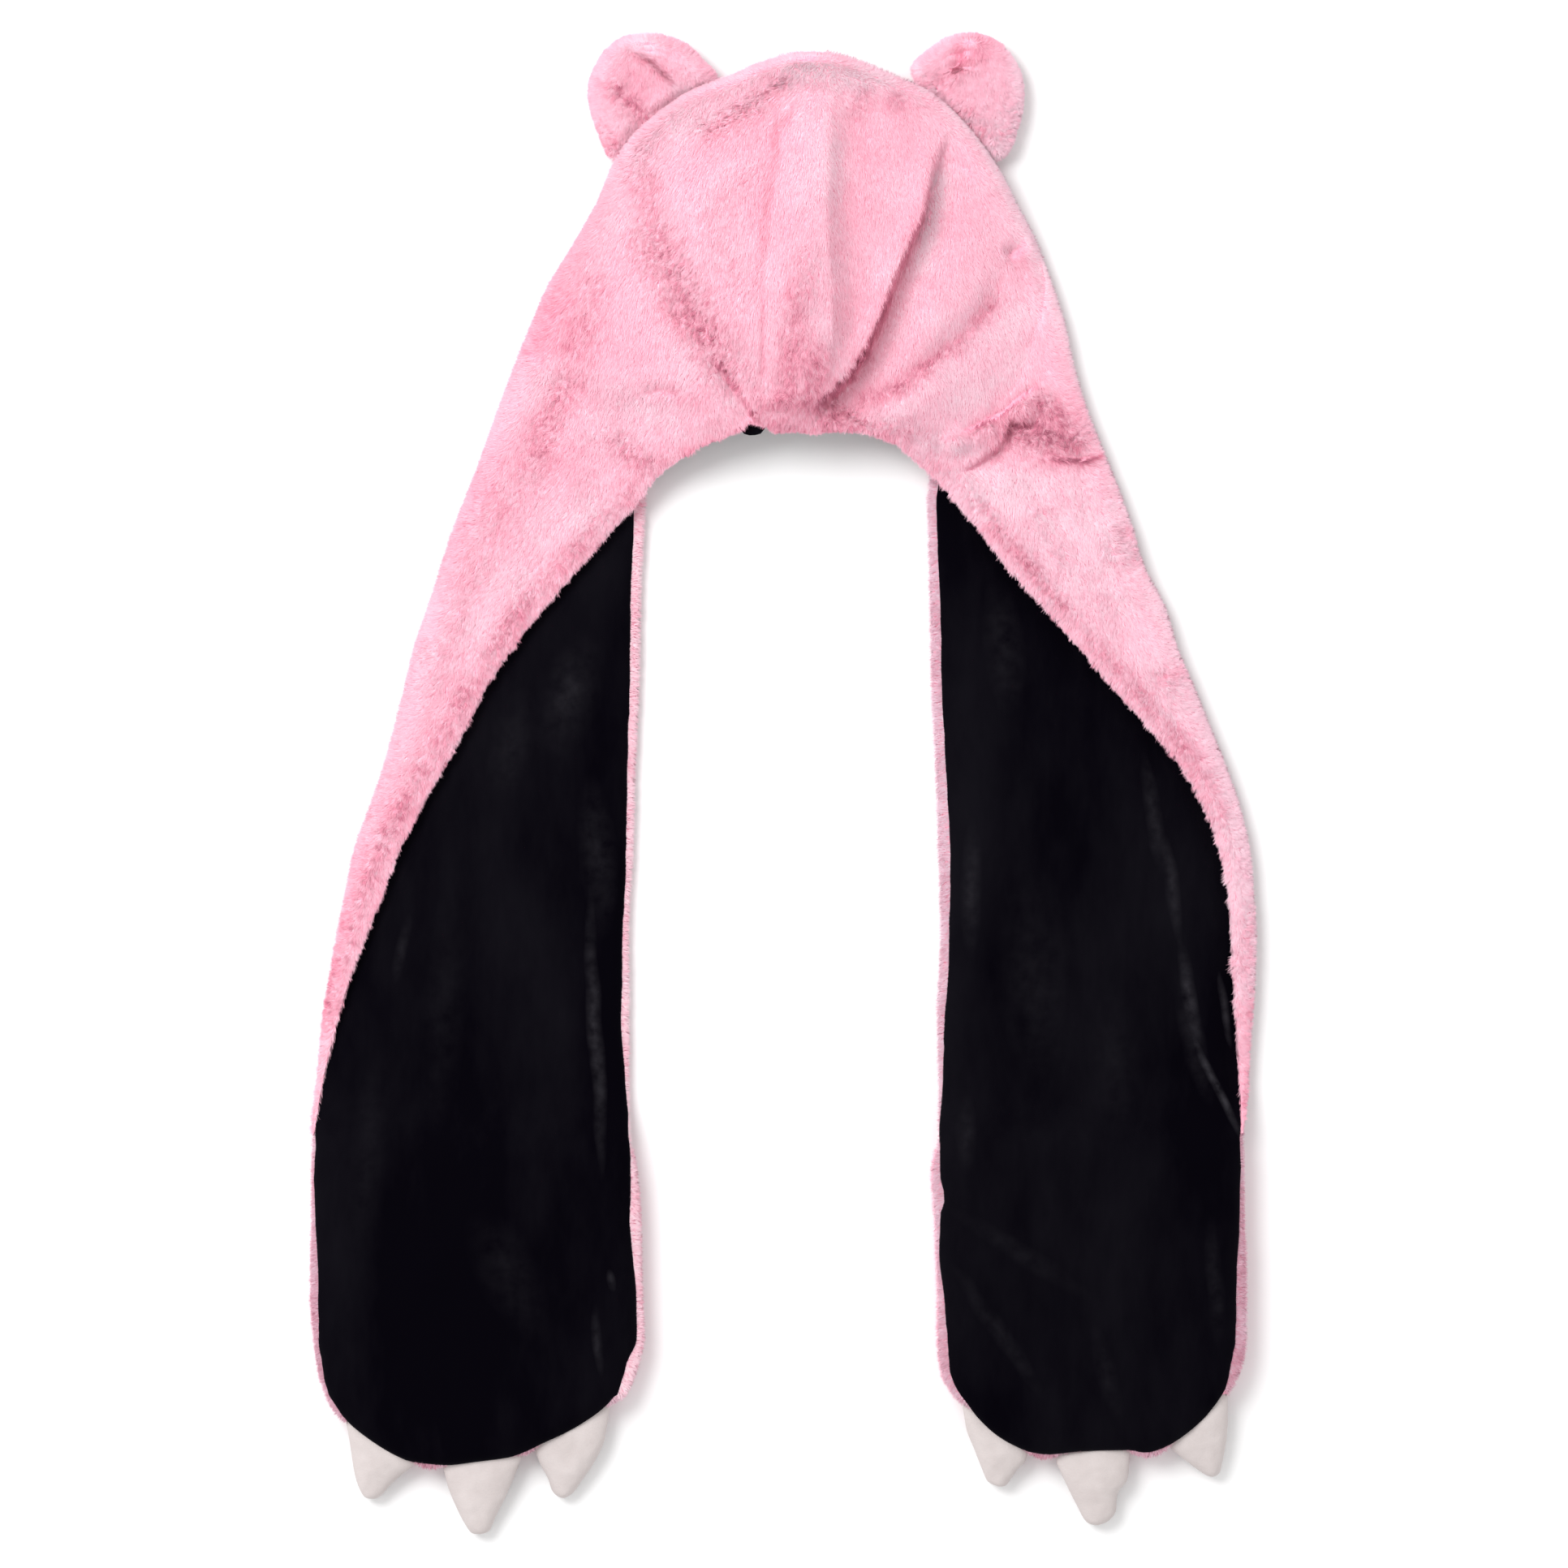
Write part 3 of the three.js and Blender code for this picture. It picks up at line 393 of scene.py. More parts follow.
def noise(x, y, size, seed):
    """Smooth noise from -1 to 1 with bumps of about that size."""
    gx, gy = x / size, y / size
    ix, iy = np.floor(gx), np.floor(gy)
    fx, fy = gx - ix, gy - iy
    u, v = fx**3 * (fx * (fx * 6 - 15) + 10), fy**3 * (fy * (fy * 6 - 15) + 10)

    def corner(dx, dy):
        a = hashed(ix + dx, iy + dy, seed) * 2 * math.pi
        return np.cos(a) * (fx - dx) + np.sin(a) * (fy - dy)
    low = corner(0, 0) * (1 - u) + corner(1, 0) * u
    high = corner(0, 1) * (1 - u) + corner(1, 1) * u
    return (low * (1 - v) + high * v) * 1.5


def cells(x, y, size, seed):
    """Nearest tuft: its middle and two numbers of its own."""
    gx, gy = x / size, y / size
    ix, iy = np.floor(gx), np.floor(gy)
    best = np.full(x.shape, np.inf)
    cx, cy, r1, r2 = (np.zeros(x.shape) for _ in range(4))
    for dx in (-1, 0, 1):
        for dy in (-1, 0, 1):
            jx, jy = ix + dx, iy + dy
            px, py = jx + 0.1 + 0.8 * hashed(jx, jy, seed), jy + 0.1 + 0.8 * hashed(jx, jy, seed + 1)
            d = (px - gx) ** 2 + (py - gy) ** 2
            hit = d < best
            best = np.where(hit, d, best)
            cx, cy = np.where(hit, px, cx), np.where(hit, py, cy)
            r1 = np.where(hit, hashed(jx, jy, seed + 2), r1)
            r2 = np.where(hit, hashed(jx, jy, seed + 3), r2)
    return cx * size, cy * size, r1, r2


def unit(v):
    return v / np.maximum(np.linalg.norm(v, axis=-1, keepdims=True), 1e-9)


def fold_height(x, y, folds):
    h = np.zeros(x.shape)
    for f in folds:
        d, t, side = near_path(x, y, f["path"])
        a, b = f["taper"]
        fade = ease(t, -0.02, a + 1e-3) * (1 - ease(t, 1 - b - 1e-3, 1.02))
        ends = np.exp(-(np.where((t <= 0) | (t >= 1), d, 0) / (f["near"] + 2)) ** 2)
        if f["kind"] == "step":
            s = d * side * (1 if f["low"] == "left" else -1)
            rise = np.sin(np.clip(s / f["near"], 0, 1) * math.pi / 2) if "crisp" in f else ease(s, 0, f["near"])
            drop = -rise * np.exp(-((np.maximum(s - f["near"], 0) / f["far"]) ** 2))
            high = f.get("lip", 0.16) * np.exp(-((np.minimum(s, 0) / 9) ** 2)) * (1 - rise)
            h = h + f["height"] * fade * ends * (drop + high)
        else:
            sign = 1 if f["kind"] == "ridge" else -1
            h = h + sign * f["height"] * fade * ends * np.exp(-((d / f["near"]) ** 2))
    return h


def fold_shade(x, y, folds):
    """How far a place lies in the low of a fold, from 0 to 1, times its dark: painted shade for the pile's colour."""
    r = np.zeros(x.shape)
    for f in folds:
        if "dark" not in f:
            continue
        d, t, side = near_path(x, y, f["path"])
        a, b = f["taper"]
        fade = ease(t, -0.02, a + 1e-3) * (1 - ease(t, 1 - b - 1e-3, 1.02))
        if f["kind"] == "step":
            s = d * side * (1 if f["low"] == "left" else -1)
            v = np.where(s > 0, np.exp(-((np.maximum(s - 0.3 * f["near"], 0) / f["wide"]) ** 2)), np.exp(-((s / 1.0) ** 2)))
        else:
            v = np.exp(-((d / f.get("wide", 0.6 * f["near"])) ** 2))
        v = v * np.exp(-(np.where((t <= 0) | (t >= 1), d, 0) / (0.5 * f["near"] + 1)) ** 2)
        r = np.maximum(r, f["dark"] * fade * v)
    return r


def tuft_map(x, y, tufts):
    r = np.zeros(x.shape)
    for f in tufts:
        d, _, _ = near_path(x, y, [f["a"], f["b"]])
        r = np.maximum(r, f["much"] * np.exp(-((d / f["width"]) ** 2)))
    return r


# Marks summed, as deeper or paler pile colour: mostly painted shade where much is above 0 and painted light where it is
# below 0.
def tone_map(x, y, marks):
    r = np.zeros(x.shape)
    for f in marks:
        d, _, _ = near_path(x, y, [f["a"], f["b"]])
        r = r + f["much"] * np.exp(-((d / f["width"]) ** 2))
    return r


def spread(n, ends, edge, width):
    """n+1 places from 0 to 1 over a width, with ends of them in the first and last edge."""
    e = np.minimum(edge / np.maximum(width, 1e-6), 0.3)
    k = np.linspace(0, 1, ends + 1) ** 1.6
    mid = np.linspace(0, 1, n - 2 * ends + 1)[1:-1]
    head = e[..., None] * k
    body = e[..., None] + (1 - 2 * e[..., None]) * mid
    tail = 1 - head[..., ::-1]
    return np.concatenate([head, body, tail], -1)


# --------------------------------------------------------------- materials
def linear(r, g, b):
    return tuple(((c / 255 + 0.055) / 1.055) ** 2.4 if c > 10.3 else c / 255 / 12.92 for c in (r, g, b))


def base_material(name, color, rough, sheen=0.0, sheen_tint=(1, 1, 1), sheen_rough=0.5, specular=0.2):
    m = bpy.data.materials.new(name)
    m.use_nodes = True
    p = m.node_tree.nodes["Principled BSDF"]
    p.inputs["Base Color"].default_value = (*color, 1)
    p.inputs["Roughness"].default_value = rough
    p.inputs["Specular IOR Level"].default_value = specular
    p.inputs["Sheen Weight"].default_value = sheen
    p.inputs["Sheen Tint"].default_value = (*sheen_tint, 1)
    p.inputs["Sheen Roughness"].default_value = sheen_rough
    m.diffuse_color = (*color, 1)
    return m


def mottled(m, low, high, scale, detail, stretch=(1, 1, 1), span=(0.35, 0.65), bump=0.0, bump_scale=900.0):
    """Colour that wanders between low and high, with an even fine grain."""
    nt = m.node_tree
    p = nt.nodes["Principled BSDF"]
    co = nt.nodes.new("ShaderNodeTexCoord")
    mp = nt.nodes.new("ShaderNodeMapping")
    mp.inputs["Scale"].default_value = stretch
    nt.links.new(co.outputs["Object"], mp.inputs["Vector"])
    nz = nt.nodes.new("ShaderNodeTexNoise")
    nz.inputs["Scale"].default_value = scale
    nz.inputs["Detail"].default_value = detail
    nz.inputs["Roughness"].default_value = 0.6
    nt.links.new(mp.outputs["Vector"], nz.inputs["Vector"])
    ramp = nt.nodes.new("ShaderNodeValToRGB")
    ramp.color_ramp.elements[0].position, ramp.color_ramp.elements[1].position = span
    ramp.color_ramp.elements[0].color = (*low, 1)
    ramp.color_ramp.elements[1].color = (*high, 1)
    nt.links.new(nz.outputs["Fac"], ramp.inputs["Fac"])
    nt.links.new(ramp.outputs["Color"], p.inputs["Base Color"])
    if bump:
        fine = nt.nodes.new("ShaderNodeTexNoise")
        fine.inputs["Scale"].default_value = bump_scale
        fine.inputs["Detail"].default_value = 3
        nt.links.new(co.outputs["Object"], fine.inputs["Vector"])
        b = nt.nodes.new("ShaderNodeBump")
        b.inputs["Strength"].default_value = bump
        b.inputs["Distance"].default_value = 0.001
        nt.links.new(fine.outputs["Fac"], b.inputs["Height"])
        nt.links.new(b.outputs["Normal"], p.inputs["Normal"])
    return m


# The undercoat's deeper pink, darkened further as painted shade where it shows between blades and in creases; the
# mottling is its random tone.
undercoat = mottled(base_material("fur_undercoat", (0.93, 0.45, 0.57), 0.95, specular=0.05),
                    (0.84, 0.32, 0.44), (0.94, 0.47, 0.59), 420, 3, bump=0.4, bump_scale=1100)
# The pile's tones, chosen per blade from its tone: the deeper ones also carry painted shade and the bright one painted
# light, besides the pile's random tone.
PILE = [
    base_material("fur_bright", (0.99, 0.70, 0.795), 0.85, specular=0.08),
    base_material("fur_pale", (0.985, 0.60, 0.715), 0.85, specular=0.08),
    base_material("fur_mid", (0.975, 0.525, 0.645), 0.85, specular=0.08),
    base_material("fur_deep", (0.93, 0.41, 0.535), 0.88, specular=0.06),
    base_material("fur_dusk", (0.80, 0.27, 0.385), 0.9, specular=0.05),
    base_material("fur_dark", (0.56, 0.165, 0.25), 0.9, specular=0.04),
]
PILE_EDGE = [
    base_material("fur_edge_bright", (0.97, 0.79, 0.84), 0.85, specular=0.08),
    base_material("fur_edge_pale", (0.96, 0.72, 0.79), 0.85, specular=0.08),
    base_material("fur_edge_mid", (0.95, 0.62, 0.71), 0.85, specular=0.08),
    base_material("fur_edge_deep", (0.92, 0.48, 0.59), 0.88, specular=0.06),
    base_material("fur_edge_dusk", (0.82, 0.34, 0.45), 0.88, specular=0.06),
    base_material("fur_edge_dark", (0.60, 0.21, 0.30), 0.9, specular=0.04),
]
# Darker, less red copies of the pile's tones: painted shade for the arms' rolled outer edges and for the right arm's
# inner edge, which faces the lamp.
SHADED_PILE_RIM = [
    base_material("fur_rim_bright", (0.82, 0.70, 0.76), 0.85, specular=0.08),
    base_material("fur_rim_pale", (0.79, 0.61, 0.69), 0.85, specular=0.08),
    base_material("fur_rim_mid", (0.76, 0.53, 0.62), 0.85, specular=0.08),
    base_material("fur_rim_deep", (0.70, 0.42, 0.51), 0.88, specular=0.06),
    base_material("fur_rim_dusk", (0.61, 0.29, 0.375), 0.9, specular=0.05),
    base_material("fur_rim_dark", (0.45, 0.18, 0.245), 0.9, specular=0.04),
]
# Near black velvet whose lighter mottling stands for the sheen of its nap: painted sheen mixed with the nap's own
# unevenness.
velvet = mottled(base_material("velvet", (0.0022, 0.0016, 0.0032), 0.8, 0.03, (0.8, 0.78, 0.95), 0.4, 0.01),
                 (0.0012, 0.0008, 0.0022), (0.0058, 0.0052, 0.0075), 14, 5, (1, 0.35, 1), (0.42, 0.80), 0.25, 1400)


def sheen_marks(m, marks, tint):
    """Painted sheen: light streaks added to the base colour where the velvet's nap turns in its folds. marks: two ends,
    half width and strength, in mm.
    """
    nt = m.node_tree
    p = nt.nodes["Principled BSDF"]
    color = p.inputs["Base Color"].links[0].from_socket
    co = nt.nodes.new("ShaderNodeTexCoord")
    grain = nt.nodes.new("ShaderNodeTexNoise")
    grain.inputs["Scale"].default_value = 120
    grain.inputs["Detail"].default_value = 5
    nt.links.new(co.outputs["Object"], grain.inputs["Vector"])
    bend = nt.nodes.new("ShaderNodeTexNoise")
    bend.inputs["Scale"].default_value = 24
    bend.inputs["Detail"].default_value = 2
    nt.links.new(co.outputs["Object"], bend.inputs["Vector"])
    warp = nt.nodes.new("ShaderNodeVectorMath")
    warp.operation = "MULTIPLY_ADD"
    nt.links.new(bend.outputs["Color"], warp.inputs[0])
    warp.inputs[1].default_value = (0.006, 0.010, 0)
    nt.links.new(co.outputs["Object"], warp.inputs[2])
    total = None
    for x0, y0, x1, y1, half, strong in marks:
        mp = nt.nodes.new("ShaderNodeMapping")
        mp.vector_type = "TEXTURE"
        mp.inputs["Location"].default_value = ((x0 + x1) / 2000 + 0.003, (y0 + y1) / 2000 + 0.005, 0)
        mp.inputs["Rotation"].default_value = (0, 0, math.atan2(y1 - y0, x1 - x0))
        mp.inputs["Scale"].default_value = (math.hypot(x1 - x0, y1 - y0) / 2000, half / 1000, 100)
        nt.links.new(warp.outputs[0], mp.inputs["Vector"])
        g = nt.nodes.new("ShaderNodeTexGradient")
        g.gradient_type = "SPHERICAL"
        nt.links.new(mp.outputs["Vector"], g.inputs["Vector"])
        k = nt.nodes.new("ShaderNodeMath")
        k.operation = "MULTIPLY"
        k.inputs[1].default_value = strong
        nt.links.new(g.outputs["Fac"], k.inputs[0])
        if total is None:
            total = k.outputs[0]
        else:
            add = nt.nodes.new("ShaderNodeMath")
            add.operation = "ADD"
            nt.links.new(total, add.inputs[0])
            nt.links.new(k.outputs[0], add.inputs[1])
            total = add.outputs[0]
    split = nt.nodes.new("ShaderNodeMapRange")
    split.inputs["From Min"].default_value = 0.22
    split.inputs["From Max"].default_value = 0.70
    nt.links.new(grain.outputs["Fac"], split.inputs["Value"])
    rough = nt.nodes.new("ShaderNodeMath")
    rough.operation = "MULTIPLY"
    nt.links.new(total, rough.inputs[0])
    nt.links.new(split.outputs["Result"], rough.inputs[1])
    out = nt.nodes.new("ShaderNodeVectorMath")
    out.operation = "MULTIPLY_ADD"
    nt.links.new(rough.outputs[0], out.inputs[0])
    out.inputs[1].default_value = tint
    nt.links.new(color, out.inputs[2])
    nt.links.new(out.outputs[0], p.inputs["Base Color"])
    return m


# Streaks of painted sheen on the velvet: two ends, half width and strength, in mm.
SHEEN = [
    (-118, 96, -146, 16, 20, 0.26), (-126, 70, -136, 40, 10, 0.22), (-160, 60, -176, -12, 15, 0.2), (-118, 8, -112, -95, 13, 0.34),
    (-121, -64, -111, -244, 5.5, 0.85), (-116, -318, -112, -364, 3.5, 0.6), (-108, -298, -105, -314, 3, 0.8),
    (-231, -78, -240, -124, 4, 0.35), (-205, -60, -214, -220, 14, 0.12), (-250, -160, -262, -300, 12, 0.12),
    (-190, -260, -150, -340, 20, 0.16),
    (117, -20, 115, -110, 7, 0.4), (221, 20, 233, -58, 6, 0.5), (234, -30, 244, -98, 5, 0.6), (243, -92, 256, -164, 5, 0.8),
    (252, -155, 281, -219, 3.2, 1.5), (244, -120, 262, -200, 8, 0.35), (267, -116, 276, -163, 3, 0.9),
    (150, -40, 160, -200, 24, 0.14), (200, -120, 205, -220, 18, 0.12),
    (99, -256, 190, -318, 7, 0.17), (101, -294, 162, -378, 6, 0.25), (190, -330, 206, -392, 7, 0.18),
    (262, -262, 266, -348, 6, 0.3), (112, -190, 112, -240, 7, 0.25), (130, 130, 140, 40, 14, 0.25),
]
sheen_marks(velvet, SHEEN, (0.026, 0.0245, 0.0285))
nap = mottled(base_material("claw_plush", (0.60, 0.535, 0.525), 0.9, 0.15, (1, 0.97, 0.96), 0.5, 0.08),
              (0.55, 0.49, 0.48), (0.61, 0.55, 0.54), 60, 4, (1, 1, 1), (0.3, 0.7), 0.35, 1300)


# ------------------------------------------------------------------ meshes
def mesh_object(name, verts, quads, tris, material):
    """Mesh in metres from millimetre points."""
    me = bpy.data.meshes.new(name)
    nq, n3 = len(quads), len(tris)
    loops = np.concatenate([np.asarray(quads, np.int32).reshape(-1), np.asarray(tris, np.int32).reshape(-1)])
    total = np.concatenate([np.full(nq, 4), np.full(n3, 3)]).astype(np.int32)
    start = np.concatenate([[0], np.cumsum(total)[:-1]]).astype(np.int32)
    me.vertices.add(len(verts))
    me.vertices.foreach_set("co", (np.asarray(verts, float) * 0.001).astype(np.float32).ravel())
    me.loops.add(len(loops))
    me.loops.foreach_set("vertex_index", loops)
    me.polygons.add(nq + n3)
    me.polygons.foreach_set("loop_start", start)
    me.polygons.foreach_set("loop_total", total)
    me.polygons.foreach_set("use_smooth", np.ones(nq + n3, bool))
    me.update(calc_edges=True)
    me.materials.append(material)
    ob = bpy.data.objects.new(name, me)
    bpy.context.scene.collection.objects.link(ob)
    return ob


def pillow(name, xy, top, under, material):
    """Closed piece from a grid of places with an upper and an under side that meet all round its edge."""
    n, m = top.shape
    rim = np.zeros((n, m), bool)
    rim[0, :] = rim[-1, :] = rim[:, 0] = rim[:, -1] = True
    half = (top + under) / 2
    upper = np.where(rim, half, top)
    a = np.arange(n * m).reshape(n, m)
    b = a.copy()
    b[~rim] = n * m + np.arange((~rim).sum())
    verts = np.concatenate([np.dstack([xy, upper]).reshape(-1, 3), np.dstack([xy, under])[~rim]])

    def quads(k):
        return np.stack([k[:-1, :-1], k[1:, :-1], k[1:, 1:], k[:-1, 1:]], -1).reshape(-1, 4)
    up, down = quads(a), quads(b)
    p = np.dstack([xy, upper])
    turn = np.cross(p[1:, :-1] - p[:-1, :-1], p[1:, 1:] - p[:-1, :-1])[..., 2].sum()
    if turn > 0:
        down = down[:, ::-1]
    else:
        up = up[:, ::-1]
    return mesh_object(name, verts, np.concatenate([up, down]), np.zeros((0, 3), int), material), p


def grid_normals(p):
    du, dv = np.gradient(p, axis=0), np.gradient(p, axis=1)
    n = unit(np.cross(du, dv))
    return n * np.where(n[n.shape[0] // 2, n.shape[1] // 2, 2] < 0, -1, 1)


class Pile:
    """Blades of fur grown from grids, kept by tone and made into pieces at the end."""

    def __init__(self):
        self.store = {}

    def grow(self, group, p, n, comb, tuft, weight, count, length, seed, lean=79.0, stand=24.0, width=0.44, size=2.3,
             sink=0.3, tone=0.0, reach=None, dark=None, calm=None, press=None):
        """p, n, comb: (rows, columns, 3). tuft, weight: (rows, columns)."""
        rng = np.random.default_rng(seed)
        e1, e2 = p[1:, :-1] - p[:-1, :-1], p[:-1, 1:] - p[:-1, :-1]
        e3, e4 = p[1:, 1:] - p[1:, :-1], p[1:, 1:] - p[:-1, 1:]
        area = (np.linalg.norm(np.cross(e1, e2), axis=-1) + np.linalg.norm(np.cross(e3, e4), axis=-1)) / 2
        w = (weight[1:, :-1] + weight[:-1, 1:] + weight[1:, 1:] + weight[:-1, :-1]) / 4 * area
        c = np.cumsum(w.ravel())
        pick = np.searchsorted(c, rng.random(count) * c[-1])
        pick = np.minimum(pick, w.size - 1)
        i, j = np.unravel_index(pick, w.shape)
        u, v = rng.random(count), rng.random(count)

        def mix(f):
            uu, vv = (u, v) if f.ndim == 2 else (u[:, None], v[:, None])
            return (f[i, j] * (1 - uu) * (1 - vv) + f[i + 1, j] * uu * (1 - vv) + f[i, j + 1] * (1 - uu) * vv
                    + f[i + 1, j + 1] * uu * vv)
        pos, nrm, cmb, ruf = mix(p), unit(mix(n)), mix(comb), mix(tuft)
        x, y = pos[:, 0], pos[:, 1]
        cx, cy, r1, r2 = cells(x + 1.3 * noise(x, y, 5, seed + 11), y + 1.3 * noise(x, y, 5, seed + 12), size, seed + 21)
        t = unit(cmb - nrm * (cmb * nrm).sum(-1, keepdims=True))
        b = np.cross(nrm, t)
        turn = (0.35 * noise(x, y, 26, seed + 31) + (0.12 + 0.35 * ruf) * noise(x, y, 4, seed + 32)
                + (r1 - 0.5) * (0.15 + 2.4 * ruf) + rng.normal(0, 1, count) * (0.10 + 0.25 * ruf))[:, None]
        t = t * np.cos(turn) + b * np.sin(turn)
        tilt = np.radians(lean - stand * ruf + (r2 - 0.5) * (2 + 18 * ruf) + rng.normal(0, 2.0, count))[:, None]
        if press is not None:
            tilt = np.minimum(tilt + np.radians(mix(press))[:, None], math.radians(88))
        d = nrm * np.cos(tilt) + t * np.sin(tilt)
        far = (length * rng.uniform(0.72, 1.08, count) * (1 - 0.12 * r1) * (1 - 0.22 * ruf))[:, None]
        if reach is not None:
            far = far * mix(reach)[:, None]
        to = np.stack([cx - x, cy - y, np.zeros(count)], -1)
        to -= nrm * (to * nrm).sum(-1, keepdims=True)
        pull = (0.05 + 0.42 * ruf)[:, None]
        tip = pos + d * far + to * pull
        across = unit(np.cross(d, nrm))
        roll = (rng.normal(0, 1, count) * (0.15 + 0.4 * ruf))[:, None]
        across = across * np.cos(roll) + unit(np.cross(d, across)) * np.sin(roll)
        half = across * (0.5 * width * rng.uniform(0.7, 1.3, count))[:, None]
        root = pos - nrm * sink
        base = nrm
        if calm is not None:
            still = mix(calm)[:, None]
            base = unit(nrm * (1 - still) + np.array([0, 0, 1.0]) * still)
        shade = unit(base - to / size * (0.02 + 0.28 * ruf)[:, None] + t * (0.04 + 0.12 * ruf)[:, None]
                     + rng.normal(0, 0.03, (count, 3)))
        shade[:, 2] = np.where(shade[:, 2] < 0.35, 0.35 + 0.25 * (shade[:, 2] - 0.35), shade[:, 2])
        shade = unit(shade)
        verts = np.stack([root - half, root + half, tip], 1)
        normals = np.repeat(shade[:, None, :], 3, 1)
        # Tone of each blade: the noises and r2 are the pile's random tone; - 0.50 * ruf is painted shade in stand-up
        # tufts.
        value = (0.60 + 0.28 * noise(x, y, 30, 77) + (0.10 + 0.22 * ruf) * noise(x, y, 7, 78)
                 + (0.06 + 0.30 * ruf) * noise(x, y, 2.8, 79) - 0.50 * ruf
                 + (r2 - 0.5) * (0.14 + 1.05 * ruf) + rng.normal(0, 0.17, count) + tone)
        # dark takes painted shade off the tone, and adds painted light where it is below 0.
        if dark is not None:
            value = value - 1.0 * mix(dark)
        kind = np.select([value > 0.9, value > 0.5, value > 0.12, value > -0.24, value > -0.62], [0, 1, 2, 3, 4], 5)
        for k in range(6):
            hit = kind == k
            self.store.setdefault((group, k), []).append((verts[hit], normals[hit]))

    def finish(self, group, tones=None, most=190000):
        made = []
        for k, label in enumerate(["bright", "pale", "mid", "deep", "dusk", "dark"]):
            if (group, k) not in self.store:
                continue
            parts = self.store.pop((group, k))
            v = np.concatenate([q[0] for q in parts])
            n = np.concatenate([q[1] for q in parts])
            if len(v) < 20:
                continue
            pieces = max(1, math.ceil(len(v) / most))
            for s in range(pieces):
                vv, nn = v[s::pieces], n[s::pieces]
                name = f"{group}_{label}" + (f"_{s + 1}" if pieces > 1 else "")
                ob = mesh_object(name, vv.reshape(-1, 3), np.zeros((0, 4), int), np.arange(len(vv) * 3).reshape(-1, 3),
                                 (tones or PILE)[k])
                a = ob.data.attributes.new("custom_normal", "FLOAT_VECTOR", "POINT")
                a.data.foreach_set("vector", nn.astype(np.float32).ravel())
                ob.data.update()
                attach(ob, "root")
                made.append(ob)
        return made


pile = Pile()


def rim_strip(ring, nr, base_z, reach, z_mid, rise, inside, lowest):
    """Rolled edge along a ring of places: positions, normals and comb. inside are offsets on the flat above it."""
    rows, normals = [], []
    flat = np.concatenate([np.zeros_like(nr), np.ones((len(ring), 1))], -1)
    for off in inside:
        rows.append(np.concatenate([ring + nr * off, (base_z + z_mid + rise)[:, None]], -1))
        normals.append(unit(flat + np.concatenate([nr * 0.05, np.zeros((len(ring), 1))], -1)))
    for a in np.radians(np.linspace(84, lowest, 9)):
        rows.append(np.concatenate([ring + nr * (math.cos(a) * reach - reach), (base_z + z_mid + rise * math.sin(a))[:, None]], -1))
        normals.append(np.concatenate([nr * math.cos(a), np.full((len(ring), 1), math.sin(a))], -1))
    comb_dir = np.concatenate([nr, np.full((len(ring), 1), -0.12)], -1) + np.array([0, -0.22, 0])
    return np.stack(rows, 1), np.stack(normals, 1), np.stack([comb_dir] * len(rows), 1)

# ---------------------------------------------------------------- outlines
side = {k: column(SIDE["y"], SIDE[k]) for k in ("left", "right")}
fur_inner = {k: column(FUR_INNER["y"], FUR_INNER[k]) for k in ("left", "right")}
velvet_inner = {k: column(VELVET_INNER["y"], VELVET_INNER[k]) for k in ("left", "right")}
velvet_low = {k: column(VELVET_OUTER["y"], VELVET_OUTER[k]) for k in ("left", "right")}
puff = {k: column(PUFF["y"], PUFF[k]) for k in ("rise", "half", "mid")}

GAP, LINING, PATCH, POCKET = 0.3, 2.2, 7.0, 5.6
POCKET_MOUTH, RAMP_TOP = -224.0, -186.0
FACE_TOP, FACE_FOOT, FACE_HALF, FACE_X = 370.0, 180.0, 88.0, 1.5
SEAM_TOP = 9.3
LINING_TOP = 11.8


def lift(y):
    return (PATCH + POCKET) * np.clip((RAMP_TOP - y) / (RAMP_TOP - POCKET_MOUTH), 0, 1)


def soft_lift(y):
    return (PATCH + POCKET) * ease(-y, -RAMP_TOP + 2, -POCKET_MOUTH + 2)


def bell(x, y):
    u = np.clip(np.abs(x - puff["mid"](y)) / puff["half"](y), 0, 1)
    return puff["rise"](y) * (1 - u * u) ** 1.15


ys_up = np.linspace(-216, 359, 140)
fold_left = np.concatenate([np.stack([side["left"](ys_up), ys_up], -1), np.array(CROWN)[1:12]])
fold_right = np.concatenate([np.array(CROWN)[11:-1], np.stack([side["right"](ys_up), ys_up], -1)[::-1]])
FOLD_LINE = np.concatenate([fold_left, fold_right[1:]])
HEM_LINE = np.concatenate([np.array(HEM_LEFT), np.array(NAPE_EDGE)[1:], np.array(HEM_RIGHT)[1:]])


def outward(x, y, path):
    """Unit direction from the nearest place of a path to a point inside it, turned round."""
    e = 0.5
    gx = far_from(x + e, y, path) - far_from(x - e, y, path)
    gy = far_from(x, y + e, path) - far_from(x, y - e, path)
    return unit(np.dstack([-gx, -gy, np.zeros_like(gx)]))


